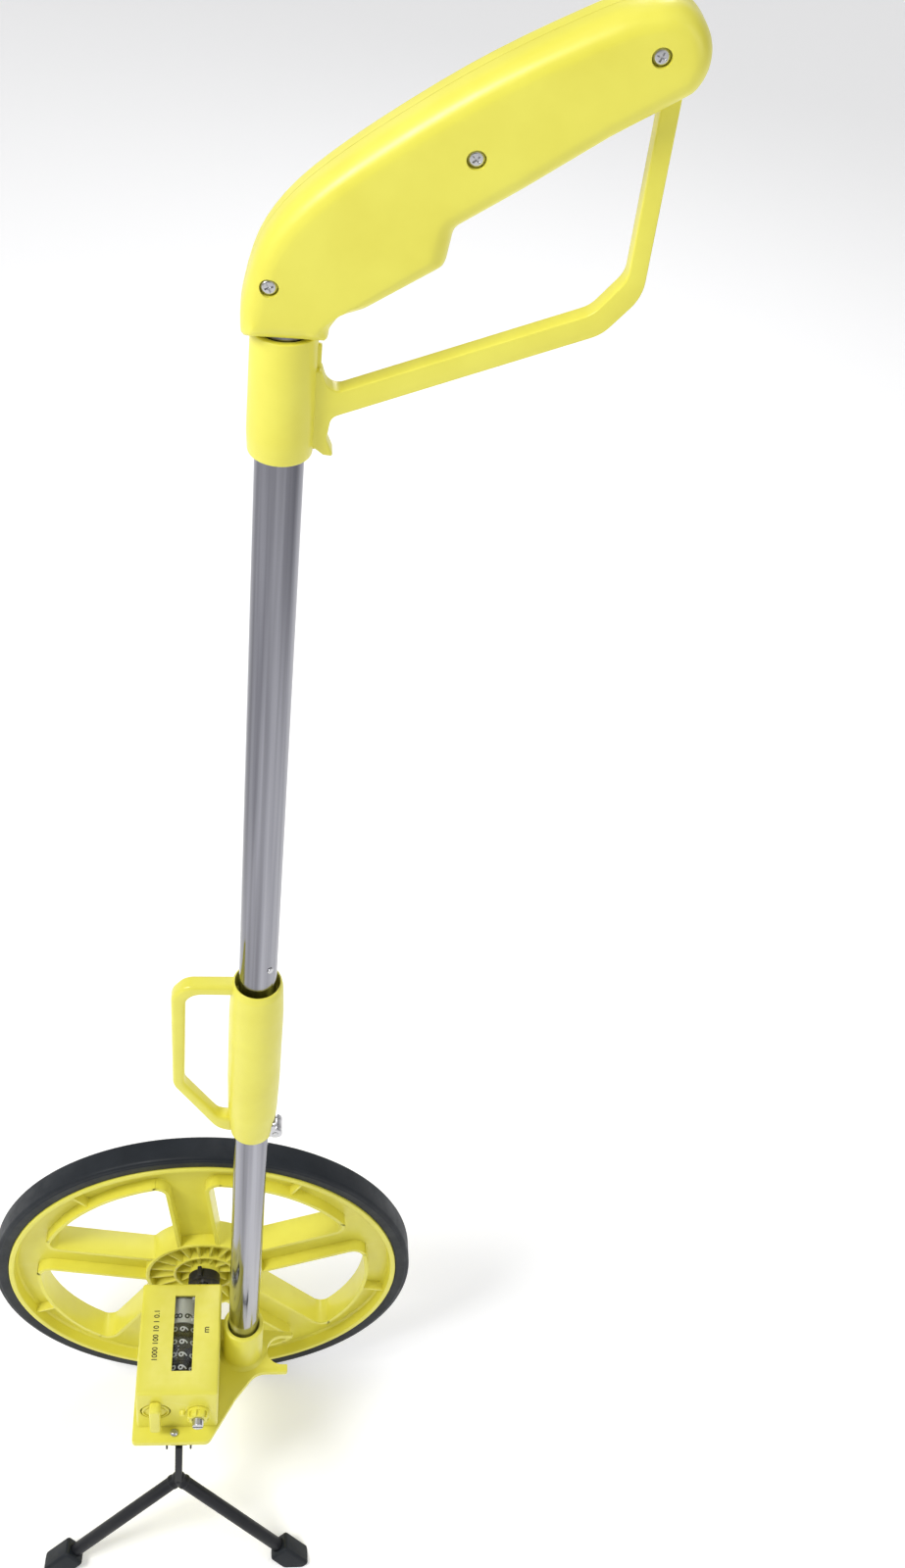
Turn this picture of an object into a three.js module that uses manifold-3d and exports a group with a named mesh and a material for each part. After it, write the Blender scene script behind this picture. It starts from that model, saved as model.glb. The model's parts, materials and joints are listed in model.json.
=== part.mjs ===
// A hand-pushed measuring wheel: a one-metre wheel on a side axle, a five-drum counter, a folding
// mast with a lock sleeve, a closed grip with a guard loop and a fold-out two-legged stand.
// Millimetres. +X is towards the user, +Y is from the counter towards the wheel, +Z is up.
// The origin is where the wheel touches the ground.
import * as THREE from "three";
import { mergeVertices } from "three/addons/utils/BufferGeometryUtils.js";
import Module from "manifold-3d";

const wasm = await Module();
wasm.setup();

// ---- Driving dimensions ----

const GAP = 0.3; // between pieces that touch
const RUNNING = 0.4; // radial clearance of a turning or sliding fit
const FINE = 54; // sides of the wheel's rounds
const ROUND = 24; // sides of a tube or knob
const SMALL = 12; // sides of a pin, shaft or screw

// Wheel
const CIRCUMFERENCE = 1000; // one turn rolls one metre
const WHEEL_R = CIRCUMFERENCE / (2 * Math.PI);
const TYRE_WIDTH = 21;
const TYRE_DEPTH = 10.6; // thickness of the rubber
const TYRE_ROUND = 2.2;
const RIM_WIDTH = 22;
const RIM_BAND = 4; // wall of the rim's outer band
const RIM_CHANNEL = 17; // width of the channel between the rim's bands
const RIM_INNER_BAND = 3;
const WEB = 3; // thickness of the wheel's middle web
const SPOKES = 5;
const SPOKE_WIDTH = 31.5;
const SPOKE_WALL = 3;
const SPOKE_DEPTH = 19;
const SPOKE_TURN = 6.4; // degrees that the top spoke stands off the vertical
const HUB_R = 45;
const HUB_WIDTH = 22;
const HUB_WALL = 3.2;
const HUB_INNER_R = 24;
const BOSS_R = 11;
const HUB_RIBS = 10;
const RIB = 2;

// Axle, from behind the wheel to in front of the counter
const AXLE_R = 4;
const AXLE_REAR_Y = 24;
const AXLE_FRONT_Y = -132.5;
const AXLE_SLOT = 1.2;
const KNOB_R = 8;
const KNOB_TEETH = 8;
const KNOB_LENGTH = 7;
const DOG_R = 12;
const DOG_LENGTH = 8;
const DOG_TAB = 3;
const NUT_R = 7;
const NUT_LENGTH = 6;

// Counter case, on the bracket's plate
const PLATE_BELOW_AXLE = 25.155;
const PLATE_THICK = 5;
const CASE_X0 = -45;
const CASE_X1 = 14;
const CASE_REAR_Y = -32;
const CASE_FRONT_Y = -120;
const CASE_ABOVE_AXLE = 25.845;
const CASE_WALL = 2.2;
const WINDOW_X = -13; // middle of the window
const WINDOW_WIDTH = 14.5;
const WINDOW_REAR_Y = -42;
const WINDOW_FRONT_Y = -102;
const LENS = 1.4;

// Counter works
const DRUM_R = 12.4;
const DRUM_X = -14.5;
const DRUM_PITCH = 10;
const DRUM_SPACE = 0.4; // between neighbouring drums
const DRUM_SHAFT_R = 2;
const CHASSIS_WALL = 2.4;
const CHASSIS_UP = 11; // its floor's underside over the plate, above the case's screw bosses
const CHASSIS_DOWN = 7; // its top under the case's top
const BUSH_R = 6.5;
const BUSH_LENGTH = 5.2;
const GEAR_TEETH = 20;
const GEAR_LENGTH = 4;
const PINION_R = 3.2;
const PINION_LENGTH = 5;
const PINION_SHAFT_R = 1.2;
const RESET_X = -31;
const RESET_BELOW_AXLE = 0.155;
const RESET_OPENING_R = 11; // round opening in the case's front
const WING_THICK = 8;
const WING_LONG = 32;
const WING_PROUD = 9;
const RESET_SHAFT_R = 2;
const FINGER = 5; // reach of the reset shaft's fingers from its axis

// Mast
const MAST_OUT = 2; // between the case and the mast's socket
const MAST_Y = -60;
const TUBE_R = 11;
const TUBE_WALL = 1.4;
const SOCKET_WALL = 4;
const SOCKET_HEIGHT = 42; // over the plate
const HINGE_OUT = 4.25; // from the tube's side to the hinge pin
const CLIP_CLEARANCE = 0.7;
const SLEEVE_BOTTOM = 430;
const SLEEVE_LENGTH = 150;
const SLEEVE_WALL = 4.2;
const SLEEVE_LIP = 3; // how far the lock sleeve covers the lower tube
const SLEEVE_CLEARANCE = 1; // round the tube, at its lower end
const D_REACH = 34; // of the D-handle from the sleeve's side
const D_BAR = 7.5;
const D_DEPTH = 10;
const KNUCKLE_R = 4.3;
const KNUCKLE = 6; // width of the middle knuckle
const HINGE_PIN_R = 1.8;

// Grip
const GUARD_SLEEVE_BOTTOM = 944;
const GUARD_SLEEVE_TOP = 1003;
const GUARD_SLEEVE_WALL = 3.8;
const GRIP_HALF = 16; // half the grip's width
const GRIP_WALL = 3;
const GUARD_BAR = 7.6;
const GUARD_DEPTH = 9;
const SCREW_HEAD_R = 3.4;

// Stand
const STAND_X = -14;
const STAND_SPREAD = 90; // from the middle to a foot
const STAND_FEET_Y = -163;
const STAND_HINGE_Y = -124.5;
const STAND_DROP = 7; // its hinge under the plate
const STAND_FORK_Z = 84; // where the legs part
const LEG_R = 5;
const STAND_PIN_R = 2;
const STEM_HALF = 2.6; // the stem between the hinge and the legs is a flat bar set edge on
const FOOT_LENGTH = 26;
const FOOT_SIDE = 17;

// ---- Values worked out from them ----

const AXLE_Z = WHEEL_R;
const PLATE_TOP = AXLE_Z - PLATE_BELOW_AXLE;
const PLATE_BOTTOM = PLATE_TOP - PLATE_THICK;
const CASE_TOP = AXLE_Z + CASE_ABOVE_AXLE;
const SOCKET_TOP = PLATE_TOP + SOCKET_HEIGHT;
const CHASSIS_FLOOR_Z = PLATE_TOP + CHASSIS_UP;
const CHASSIS_TOP = CASE_TOP - CHASSIS_DOWN;
const RESET_Z = AXLE_Z - RESET_BELOW_AXLE;
const NUB_Z = RESET_Z - 1;
const STAND_HINGE_Z = PLATE_BOTTOM - STAND_DROP;
const SOCKET_R = TUBE_R + SOCKET_WALL;
const MAST_X = CASE_X1 + MAST_OUT + SOCKET_R;
const SLEEVE_BORE_R = TUBE_R + SLEEVE_CLEARANCE;
const SLEEVE_R = SLEEVE_BORE_R + SLEEVE_WALL;
const GUARD_SLEEVE_R = TUBE_R + GUARD_SLEEVE_WALL;
const CLIP_R = TUBE_R + CLIP_CLEARANCE;
const RIM_R = WHEEL_R - TYRE_DEPTH;
const WINDOW_R = RIM_R - RIM_BAND - RIM_CHANNEL - RIM_INNER_BAND; // inner edge of the rim
const HINGE_Z = SLEEVE_BOTTOM + SLEEVE_LIP;
const HINGE_X = MAST_X + TUBE_R + HINGE_OUT;
const CLIP_X = 2 * HINGE_X - MAST_X; // the folded tube's axis
const DRUM_Z = CASE_TOP - CASE_WALL - LENS - 0.7 - DRUM_R;
const CHASSIS_REAR_Y = CASE_REAR_Y - CASE_WALL - GAP;
const CHASSIS_FRONT_Y = CASE_FRONT_Y + CASE_WALL + GAP;

const yellow = { color: 0xe3d82f, roughness: 0.42, metalness: 0 };
const rubber = { color: 0x20252d, roughness: 0.6, metalness: 0 };
const black = { color: 0x1d1f22, roughness: 0.5, metalness: 0 };
const white = { color: 0xe9e6dc, roughness: 0.45, metalness: 0 };
const steel = { color: 0x8f8f98, roughness: 0.28, metalness: 1 };
const silver = { color: 0xc4c6c8, roughness: 0.25, metalness: 1 };
const clear = { color: 0xf2f4f4, roughness: 0.08, metalness: 0 };

// ---- Shape helpers ----

const model = new THREE.Group();

// A named mesh of the model, in its own material.
function piece(name, geometry, look) {
  const mesh = new THREE.Mesh(geometry, new THREE.MeshStandardMaterial(look));
  mesh.name = name;
  model.add(mesh);
  return mesh;
}

function solid(geometry) {
  const bare = geometry.clone();
  bare.deleteAttribute("normal");
  bare.deleteAttribute("uv");
  const merged = mergeVertices(bare, 1e-4);
  return new wasm.Manifold(
    new wasm.Mesh({
      numProp: 3,
      vertProperties: new Float32Array(merged.attributes.position.array),
      triVerts: new Uint32Array(merged.index.array),
    }),
  );
}

function geometryOf(shape) {
  const mesh = shape.getMesh();
  const geometry = new THREE.BufferGeometry();
  geometry.setAttribute("position", new THREE.BufferAttribute(mesh.vertProperties, 3));
  geometry.setIndex(new THREE.BufferAttribute(mesh.triVerts, 1));
  geometry.computeVertexNormals();
  return geometry;
}

// Joins the added geometries and takes the removed ones away.
function carve(added, removed = []) {
  let shape = solid(added[0]);
  for (const extra of added.slice(1)) {
    shape = shape.add(solid(extra));
  }
  for (const cut of removed) {
    shape = shape.subtract(solid(cut));
  }
  return geometryOf(shape);
}

const alongZ = (geometry) => geometry.rotateX(Math.PI / 2);
const alongX = (geometry) => geometry.rotateZ(-Math.PI / 2);
const at = (geometry, x, y, z) => geometry.translate(x, y, z);
const turnY = (geometry, degrees) => geometry.rotateY(THREE.MathUtils.degToRad(degrees));

function box(x0, x1, y0, y1, z0, z1) {
  return at(new THREE.BoxGeometry(x1 - x0, y1 - y0, z1 - z0), (x0 + x1) / 2, (y0 + y1) / 2, (z0 + z1) / 2);
}

// A round solid about the lathe's axis, from [radius, along] points that close on themselves.
function turned(points, sides = ROUND) {
  const closed = [...points, points[0]].map(([r, along]) => new THREE.Vector2(r, along));
  return new THREE.LatheGeometry(closed, sides);
}

const disc = (r, y0, y1, sides = ROUND) => at(new THREE.CylinderGeometry(r, r, y1 - y0, sides), 0, (y0 + y1) / 2, 0);

function ring(outer, inner, y0, y1, sides = ROUND) {
  return turned([[inner, y0], [outer, y0], [outer, y1], [inner, y1]], sides);
}

// A shape in X and Z, drawn from [x, z] points, and thick from y0 to y1.
function slab(shape, y0, y1, steps = 6) {
  const options = { depth: y1 - y0, bevelEnabled: false, curveSegments: steps };
  return at(alongZ(new THREE.ExtrudeGeometry(shape, options)), 0, y1, 0);
}

// A shape in X and Y, thick from z0 to z1.
function plate(shape, z0, z1, steps = 6) {
  const options = { depth: z1 - z0, bevelEnabled: false, curveSegments: steps };
  return at(new THREE.ExtrudeGeometry(shape, options), 0, 0, z0);
}

const polygon = (points) => new THREE.Shape(points.map(([x, y]) => new THREE.Vector2(x, y)));

// An outline with every corner rounded to the radius in its third number.
function roundedOutline(points) {
  const outline = new THREE.Shape();
  const count = points.length;
  points.forEach(([x, y, radius = 0], index) => {
    const corner = new THREE.Vector2(x, y);
    const before = new THREE.Vector2(...points[(index + count - 1) % count]).sub(corner);
    const after = new THREE.Vector2(...points[(index + 1) % count]).sub(corner);
    const half = before.angleTo(after) / 2;
    const reach = radius / Math.tan(half);
    const start = corner.clone().addScaledVector(before.normalize(), reach);
    const end = corner.clone().addScaledVector(after.normalize(), reach);
    if (index === 0) outline.moveTo(start.x, start.y);
    else outline.lineTo(start.x, start.y);
    if (radius > 0) outline.quadraticCurveTo(x, y, end.x, end.y);
  });
  outline.closePath();
  return outline;
}

// A geometry made about the Y axis at the origin, moved to the wheel's axle.
const onAxle = (geometry) => at(geometry, 0, 0, AXLE_Z);
const onMast = (geometry) => at(geometry, MAST_X, MAST_Y, 0);

// ---- Wheel ----

// A side of the tyre lies flat on the ground, so its corners stand a little outside the tread.
const halfSide = 180 / FINE;
const corner = 1 / Math.cos(THREE.MathUtils.degToRad(halfSide));

function tyre() {
  const half = TYRE_WIDTH / 2;
  const outer = WHEEL_R * corner;
  const inner = RIM_R + GAP;
  const section = [
    [inner, -half],
    [outer - TYRE_ROUND, -half],
    [outer, -half + TYRE_ROUND],
    [outer, half - TYRE_ROUND],
    [outer - TYRE_ROUND, half],
    [inner, half],
  ];
  return onAxle(turnY(turned(section, FINE), halfSide));
}

// A bar along a spoke's direction, from one radius to another, about the spoke's middle line.
function spokeBar(degrees, fromR, toR, across0, across1, y0, y1) {
  return turnY(box(fromR, toR, y0, y1, across0, across1), -degrees);
}

function wheelRim() {
  const half = RIM_WIDTH / 2;
  const hubHalf = HUB_WIDTH / 2;
  const web = WEB / 2;
  const bandInner = RIM_R - RIM_BAND;
  const added = [
    ring(RIM_R, bandInner, -half, half, FINE),
    ring(WINDOW_R + RIM_INNER_BAND, WINDOW_R, -half, half, FINE),
    ring(bandInner + 1, WINDOW_R + 1, -web, web, FINE),
    ring(HUB_R, HUB_R - HUB_WALL, -hubHalf, hubHalf, FINE),
    ring(HUB_INNER_R, HUB_INNER_R - WEB, -hubHalf + 1, hubHalf - 1, FINE),
    ring(HUB_R - 1, AXLE_R + GAP, -web, web, FINE),
    ring(BOSS_R, AXLE_R + GAP, -hubHalf, hubHalf, ROUND),
  ];
  const wallTo = WINDOW_R + 1;
  const wallFrom = HUB_R - 1;
  const edge = SPOKE_WIDTH / 2;
  const deep = SPOKE_DEPTH / 2;
  for (let n = 0; n < SPOKES; n += 1) {
    const turn = 90 + SPOKE_TURN + (n * 360) / SPOKES;
    added.push(spokeBar(turn, wallFrom, wallTo, -edge, -edge + SPOKE_WALL, -deep, deep));
    added.push(spokeBar(turn, wallFrom, wallTo, edge - SPOKE_WALL, edge, -deep, deep));
    added.push(spokeBar(turn, wallFrom, wallTo, -edge + 1, edge - 1, -web, web));
    const rimRib = turn + 180 / SPOKES;
    added.push(spokeBar(rimRib, WINDOW_R + 1, bandInner + 1, -RIB / 2, RIB / 2, -half + 3, half - 3));
  }
  for (let n = 0; n < HUB_RIBS; n += 1) {
    const turn = (n * 360) / HUB_RIBS;
    added.push(spokeBar(turn, HUB_INNER_R - 1, HUB_R - 1, -RIB / 2, RIB / 2, -hubHalf + 2, hubHalf - 2));
  }
  return onAxle(turnY(carve(added), halfSide));
}

function driveDog() {
  const y1 = -HUB_WIDTH / 2 - GAP;
  const y0 = y1 - DOG_LENGTH;
  const tab = box(-DOG_TAB / 2, DOG_TAB / 2, y0, y1, AXLE_R + 2, DOG_R + 4);
  return onAxle(carve([ring(DOG_R, AXLE_R + GAP, y0, y1), turnY(tab, -14)]));
}

function axleShaft() {
  const slot = box(-AXLE_R - 1, AXLE_R + 1, AXLE_FRONT_Y - 1, AXLE_FRONT_Y + 1.5, -AXLE_SLOT / 2, AXLE_SLOT / 2);
  return onAxle(carve([disc(AXLE_R, AXLE_FRONT_Y, AXLE_REAR_Y)], [slot]));
}

function axleKnob() {
  const y1 = CASE_FRONT_Y - GAP;
  const y0 = y1 - KNOB_LENGTH;
  const cuts = [];
  for (let n = 0; n < KNOB_TEETH; n += 1) {
    cuts.push(turnY(box(KNOB_R - 1.6, KNOB_R + 2, y0 - 1, y0 + 4.5, -1.3, 1.3), (n * 360) / KNOB_TEETH));
  }
  return onAxle(carve([ring(KNOB_R, AXLE_R + GAP, y0, y1)], cuts));
}

const washerY = HUB_WIDTH / 2 + GAP;
const axleWasher = () => onAxle(ring(NUT_R + 3, AXLE_R + GAP, washerY, washerY + 1.5));

function axleNut() {
  const y0 = washerY + 1.8;
  const bore = disc(AXLE_R + GAP, y0 - 1, y0 + NUT_LENGTH + 1);
  return onAxle(carve([disc(NUT_R, y0, y0 + NUT_LENGTH, 6)], [bore]));
}

piece("tyre", tyre(), rubber);
piece("wheel_rim", wheelRim(), yellow);
piece("drive_dog", driveDog(), black);
piece("axle_shaft", axleShaft(), steel);
piece("axle_knob", axleKnob(), yellow);
piece("axle_washer", axleWasher(), silver);
piece("axle_nut", axleNut(), silver);

// ---- Bracket: plate, mast socket and tube clip ----

function plateOutline() {
  const front = CASE_FRONT_Y - 12;
  return roundedOutline([
    [CASE_X0 - 3, front, 3],
    [CASE_X1 - 6, front, 4],
    [CASE_X1 + 14, front + 34, 6],
    [MAST_X + 11, MAST_Y - CLIP_R - 6.3, 8],
    [CLIP_X + 4, MAST_Y - CLIP_R - 6.3, 2],
    [CLIP_X + 4, MAST_Y - 8, 1],
    [CLIP_X + 4, MAST_Y + 8, 1],
    [CLIP_X + 8, MAST_Y + 10, 0],
    [CLIP_X + 8, MAST_Y + CLIP_R + 2.8, 1.5],
    [SOCKET_R + MAST_X - 1, MAST_Y + CLIP_R + 5.3, 5],
    [MAST_X + 4, CASE_REAR_Y - 2, 6],
    [CASE_X0 - 3, CASE_REAR_Y - 2, 3],
  ]);
}

function baseBracket() {
  const socket = onMast(alongZ(ring(SOCKET_R, TUBE_R + GAP, PLATE_TOP - 1, SOCKET_TOP)));
  const notch = at(alongZ(disc(CLIP_R, PLATE_BOTTOM - 1, PLATE_TOP + 1)), CLIP_X, MAST_Y, 0);
  const mouth = box(CLIP_X, CLIP_X + 20, MAST_Y - CLIP_R, MAST_Y + CLIP_R, PLATE_BOTTOM - 1, PLATE_TOP + 1);
  const cuts = [notch, mouth, socketScrewHole(GAP)];
  for (const [x, y] of caseScrewPlaces) {
    cuts.push(at(alongZ(disc(CASE_SCREW_R + GAP, PLATE_BOTTOM - 1, PLATE_TOP + 1, SMALL)), x, y, 0));
  }
  cuts.push(at(alongZ(disc(LEDGE_SCREW_R + GAP, PLATE_BOTTOM - 1, PLATE_TOP + 1, SMALL)), ...ledgeScrew, 0));
  return carve([plate(plateOutline(), PLATE_BOTTOM, PLATE_TOP), socket], cuts);
}

const CASE_SCREW_R = 1.5;
const LEDGE_SCREW_R = 1.5;
const ledgeScrew = [-17.5, CASE_FRONT_Y - 5];
const bossInset = 5.2;
const caseScrewPlaces = [
  [CASE_X0 + bossInset, CASE_REAR_Y - bossInset],
  [CASE_X1 - bossInset, CASE_REAR_Y - bossInset],
  [CASE_X0 + bossInset, CASE_FRONT_Y + bossInset],
];

// The hole of the grub screw, or the screw itself, through the socket's side towards +Y.
function socketScrewHole(clearance = 0) {
  const r = 2.2 + clearance;
  const from = MAST_Y + TUBE_R + GAP + (clearance > 0 ? -1 : 0.1);
  const to = MAST_Y + SOCKET_R + (clearance > 0 ? 1 : 0.8);
  return at(disc(r, from, to, SMALL), MAST_X, 0, SOCKET_TOP - 14);
}

function panScrew(x, y, seat, up, shankR, length, headR, headHeight) {
  const profile = [
    [0, -length],
    [shankR, -length],
    [shankR, 0],
    [headR, 0],
    [headR, headHeight * 0.6],
    [headR * 0.6, headHeight],
    [0, headHeight],
  ];
  const screw = new THREE.LatheGeometry(profile.map(([r, along]) => new THREE.Vector2(r, along)), SMALL);
  return at(up ? alongZ(screw) : screw.rotateX(-Math.PI / 2), x, y, seat);
}

piece("base_bracket", baseBracket(), yellow);
piece("socket_screw", socketScrewHole(), silver);
const ledgeLength = PLATE_THICK + 2;
piece("ledge_screw", panScrew(...ledgeScrew, PLATE_TOP + GAP, true, LEDGE_SCREW_R, ledgeLength, 3, 2.4), silver);
caseScrewPlaces.forEach(([x, y], index) => {
  const screw = panScrew(x, y, PLATE_BOTTOM - GAP, false, CASE_SCREW_R, PLATE_THICK + 8, 3, 2);
  piece(`case_screw_${index + 1}`, screw, silver);
});

// ---- Counter case ----

const wallHole = (r, x, z, y0, y1, sides = ROUND) => at(disc(r, y0, y1, sides), x, 0, z);

function counterCase() {
  const floor = PLATE_TOP + GAP;
  const outside = roundedOutline([
    [CASE_X0, CASE_REAR_Y, 2.5],
    [CASE_X1, CASE_REAR_Y, 2.5],
    [CASE_X1, CASE_FRONT_Y, 2.5],
    [CASE_X0, CASE_FRONT_Y, 2.5],
  ]);
  const w = CASE_WALL;
  const inside = box(CASE_X0 + w, CASE_X1 - w, CASE_FRONT_Y + w, CASE_REAR_Y - w, floor - 1, CASE_TOP - w);
  const shell = carve([plate(outside, floor, CASE_TOP, 3)], [inside]);
  const nub = at(new THREE.CylinderGeometry(2.5, 1.6, 3.5, SMALL), -11.5, CASE_FRONT_Y - 1.5, NUB_Z);
  const added = [shell, nub];
  const halfWindow = WINDOW_WIDTH / 2;
  const cuts = [
    box(WINDOW_X - halfWindow, WINDOW_X + halfWindow, WINDOW_FRONT_Y, WINDOW_REAR_Y, CASE_TOP - w - 1, CASE_TOP + 1),
    wallHole(BUSH_R + GAP, 0, AXLE_Z, CASE_REAR_Y - w - 1, CASE_REAR_Y + 1),
    wallHole(BUSH_R + GAP, 0, AXLE_Z, CASE_FRONT_Y - 1, CASE_FRONT_Y + w + 1),
    wallHole(RESET_OPENING_R, RESET_X, RESET_Z, CASE_FRONT_Y - 1, CASE_FRONT_Y + w + 1),
  ];
  for (const [x, y] of caseScrewPlaces) {
    const boss = alongZ(disc(CASE_SCREW_R + 2.2, floor, CHASSIS_FLOOR_Z - 1, SMALL));
    added.push(at(boss, x, y, 0));
    cuts.push(at(alongZ(disc(CASE_SCREW_R + GAP, floor - 1, CHASSIS_FLOOR_Z - 2, SMALL)), x, y, 0));
  }
  return carve(added, cuts);
}

function windowLens() {
  const halfX = WINDOW_WIDTH / 2 + 2;
  const top = CASE_TOP - CASE_WALL - GAP;
  return box(WINDOW_X - halfX, WINDOW_X + halfX, WINDOW_FRONT_Y - 2, WINDOW_REAR_Y + 2, top - LENS, top);
}

// ---- Counter works ----

const drumRearY = WINDOW_REAR_Y - DRUM_SPACE / 2;
const gearDistance = Math.hypot(DRUM_X, DRUM_Z - AXLE_Z);
const gearY = drumRearY + DRUM_SPACE;
const drumEnd = (index) => drumRearY - (index + 2) * DRUM_PITCH; // the first drum is two pitches wide
const pinionX = DRUM_X - 2;
const pinionZ = DRUM_Z - DRUM_R - PINION_R - GAP;

function counterChassis() {
  const x0 = CASE_X0 + CASE_WALL + 2;
  const x1 = CASE_X1 - CASE_WALL - 2;
  const rear1 = CHASSIS_REAR_Y;
  const front0 = CHASSIS_FRONT_Y;
  const floor1 = CHASSIS_FLOOR_Z + 2;
  const added = [
    box(x0, x1, rear1 - CHASSIS_WALL, rear1, CHASSIS_FLOOR_Z, CHASSIS_TOP),
    box(x0, x1, front0, front0 + CHASSIS_WALL, CHASSIS_FLOOR_Z, CHASSIS_TOP),
    box(x0, x1, front0, rear1, CHASSIS_FLOOR_Z, floor1),
    box(x0 + 14, x1 - 14, front0 + 8, rear1 - 8, PLATE_TOP + GAP, CHASSIS_FLOOR_Z + 1),
  ];
  const cuts = [];
  const through = [
    [BUSH_R + GAP, 0, AXLE_Z],
    [DRUM_SHAFT_R + GAP, DRUM_X, DRUM_Z],
    [PINION_SHAFT_R + GAP, pinionX, pinionZ],
    [RESET_SHAFT_R + RUNNING, RESET_X, RESET_Z],
  ];
  for (const [r, x, z] of through) {
    cuts.push(wallHole(r, x, z, front0 - 1, rear1 + 1));
  }
  return carve(added, cuts);
}

const bush = (y1) => onAxle(ring(BUSH_R, AXLE_R + RUNNING, y1 - BUSH_LENGTH, y1));

function counterDrum(index) {
  const y1 = index === 0 ? drumRearY : drumEnd(index - 1);
  return at(ring(DRUM_R, DRUM_SHAFT_R + RUNNING, drumEnd(index) + DRUM_SPACE, y1), DRUM_X, 0, DRUM_Z);
}

// A spur gear about the Y axis; its teeth are shallow and thin, so that a pair runs with backlash.
function spurGear(bore, turn) {
  const pitchR = gearDistance / 2;
  const tip = pitchR + 0.4;
  const root = pitchR - 0.8;
  const step = (2 * Math.PI) / GEAR_TEETH;
  const points = [];
  for (let n = 0; n < GEAR_TEETH; n += 1) {
    for (const [share, r] of [[-0.25, root], [-0.12, tip], [0.12, tip], [0.25, root]]) {
      const angle = (n + share) * step;
      points.push([r * Math.cos(angle), r * Math.sin(angle)]);
    }
  }
  const wheel = slab(polygon(points), gearY, gearY + GEAR_LENGTH);
  return turnY(carve([wheel], [disc(bore, gearY - 1, gearY + GEAR_LENGTH + 1, SMALL)]), turn);
}

// The two gears' teeth face each other along the line between their shafts.
const meshAngle = THREE.MathUtils.radToDeg(Math.atan2(DRUM_Z - AXLE_Z, DRUM_X));
const driveGear = () => onAxle(spurGear(AXLE_R + GAP, -meshAngle));
const halfTooth = 180 / GEAR_TEETH;
const drumGear = () => at(spurGear(DRUM_SHAFT_R + RUNNING, 180 - meshAngle + halfTooth), DRUM_X, 0, DRUM_Z);

function carryPinion(index) {
  const y0 = drumEnd(index) + DRUM_SPACE / 2 - PINION_LENGTH / 2;
  return at(ring(PINION_R, PINION_SHAFT_R + RUNNING, y0, y0 + PINION_LENGTH, SMALL), pinionX, 0, pinionZ);
}

function shaftBetweenWalls(r, x, z, spare = GAP) {
  return at(disc(r, CHASSIS_FRONT_Y + spare, CHASSIS_REAR_Y - spare, SMALL), x, 0, z);
}

function resetKnob() {
  const inner = CASE_FRONT_Y + CASE_WALL;
  const tip = CASE_FRONT_Y - WING_PROUD;
  const half = WING_THICK / 2;
  const wing = slab(roundedOutline([
    [-half, -WING_LONG / 2, 2],
    [half, -WING_LONG / 2, 2],
    [half, WING_LONG / 2, 2],
    [-half, WING_LONG / 2, 2],
  ]), tip, CASE_FRONT_Y - GAP, 3);
  const boss = disc(RESET_OPENING_R - RUNNING, CASE_FRONT_Y - GAP - 0.5, inner);
  const bore = disc(RESET_SHAFT_R + GAP / 2, tip + 4, inner + 1, SMALL);
  return at(carve([boss, wing], [bore]), RESET_X, 0, RESET_Z);
}

function resetShaft() {
  const front = CASE_FRONT_Y - WING_PROUD + 4 + GAP;
  const added = [disc(RESET_SHAFT_R, front, CHASSIS_REAR_Y - GAP, SMALL)];
  for (let n = 0; n < 5; n += 1) {
    const y = drumEnd(n) + DRUM_PITCH / 2;
    added.push(box(-1.2, 1.2, y - 1.5, y + 1.5, -FINGER, 0));
  }
  return at(carve(added), RESET_X, 0, RESET_Z);
}

piece("counter_case", counterCase(), yellow);
piece("window_lens", windowLens(), clear);
piece("counter_chassis", counterChassis(), steel);
piece("axle_bush_rear", bush(CASE_REAR_Y), black);
piece("axle_bush_front", bush(CASE_FRONT_Y + BUSH_LENGTH), black);
piece("drum_shaft", shaftBetweenWalls(DRUM_SHAFT_R, DRUM_X, DRUM_Z), steel);
["drum_tenths", "drum_units", "drum_tens", "drum_hundreds", "drum_thousands"].forEach((name, index) => {
  piece(name, counterDrum(index), index === 0 ? white : black);
});
piece("drive_gear", driveGear(), white);
piece("drum_gear", drumGear(), white);
piece("pinion_shaft", shaftBetweenWalls(PINION_SHAFT_R, pinionX, pinionZ), steel);
for (let n = 0; n < 4; n += 1) {
  piece(`carry_pinion_${n + 1}`, carryPinion(n), white);
}
piece("reset_knob", resetKnob(), yellow);
piece("reset_shaft", resetShaft(), steel);

// ---- Mast, fold hinge and lock sleeve ----

const plugR = TUBE_R - TUBE_WALL - GAP;
const earOuter = KNUCKLE / 2 + GAP + 3; // half the hinge's width over its two ears
const armHeight = 8;
const plugLength = 34;
const stopRivetZ = SLEEVE_BOTTOM + SLEEVE_LENGTH + 20;
const sleeveRecess = 12; // depth of the wide mouth at the lock sleeve's top

// A mast tube with a notch in its +X side for the hinge's arms.
function mastTube(z0, z1, notchHalf, notch0, notch1) {
  const tube = onMast(alongZ(ring(TUBE_R, TUBE_R - TUBE_WALL, z0, z1)));
  const notch = box(MAST_X + 2, MAST_X + TUBE_R + 1, MAST_Y - notchHalf, MAST_Y + notchHalf, notch0, notch1);
  return carve([tube], [notch]);
}

function lowerTube() {
  const top = HINGE_Z - GAP / 2;
  return mastTube(PLATE_TOP + GAP, top, KNUCKLE / 2 + GAP, HINGE_Z - armHeight - GAP, top + 1);
}

const tubeTop = GUARD_SLEEVE_TOP + 11;

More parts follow.
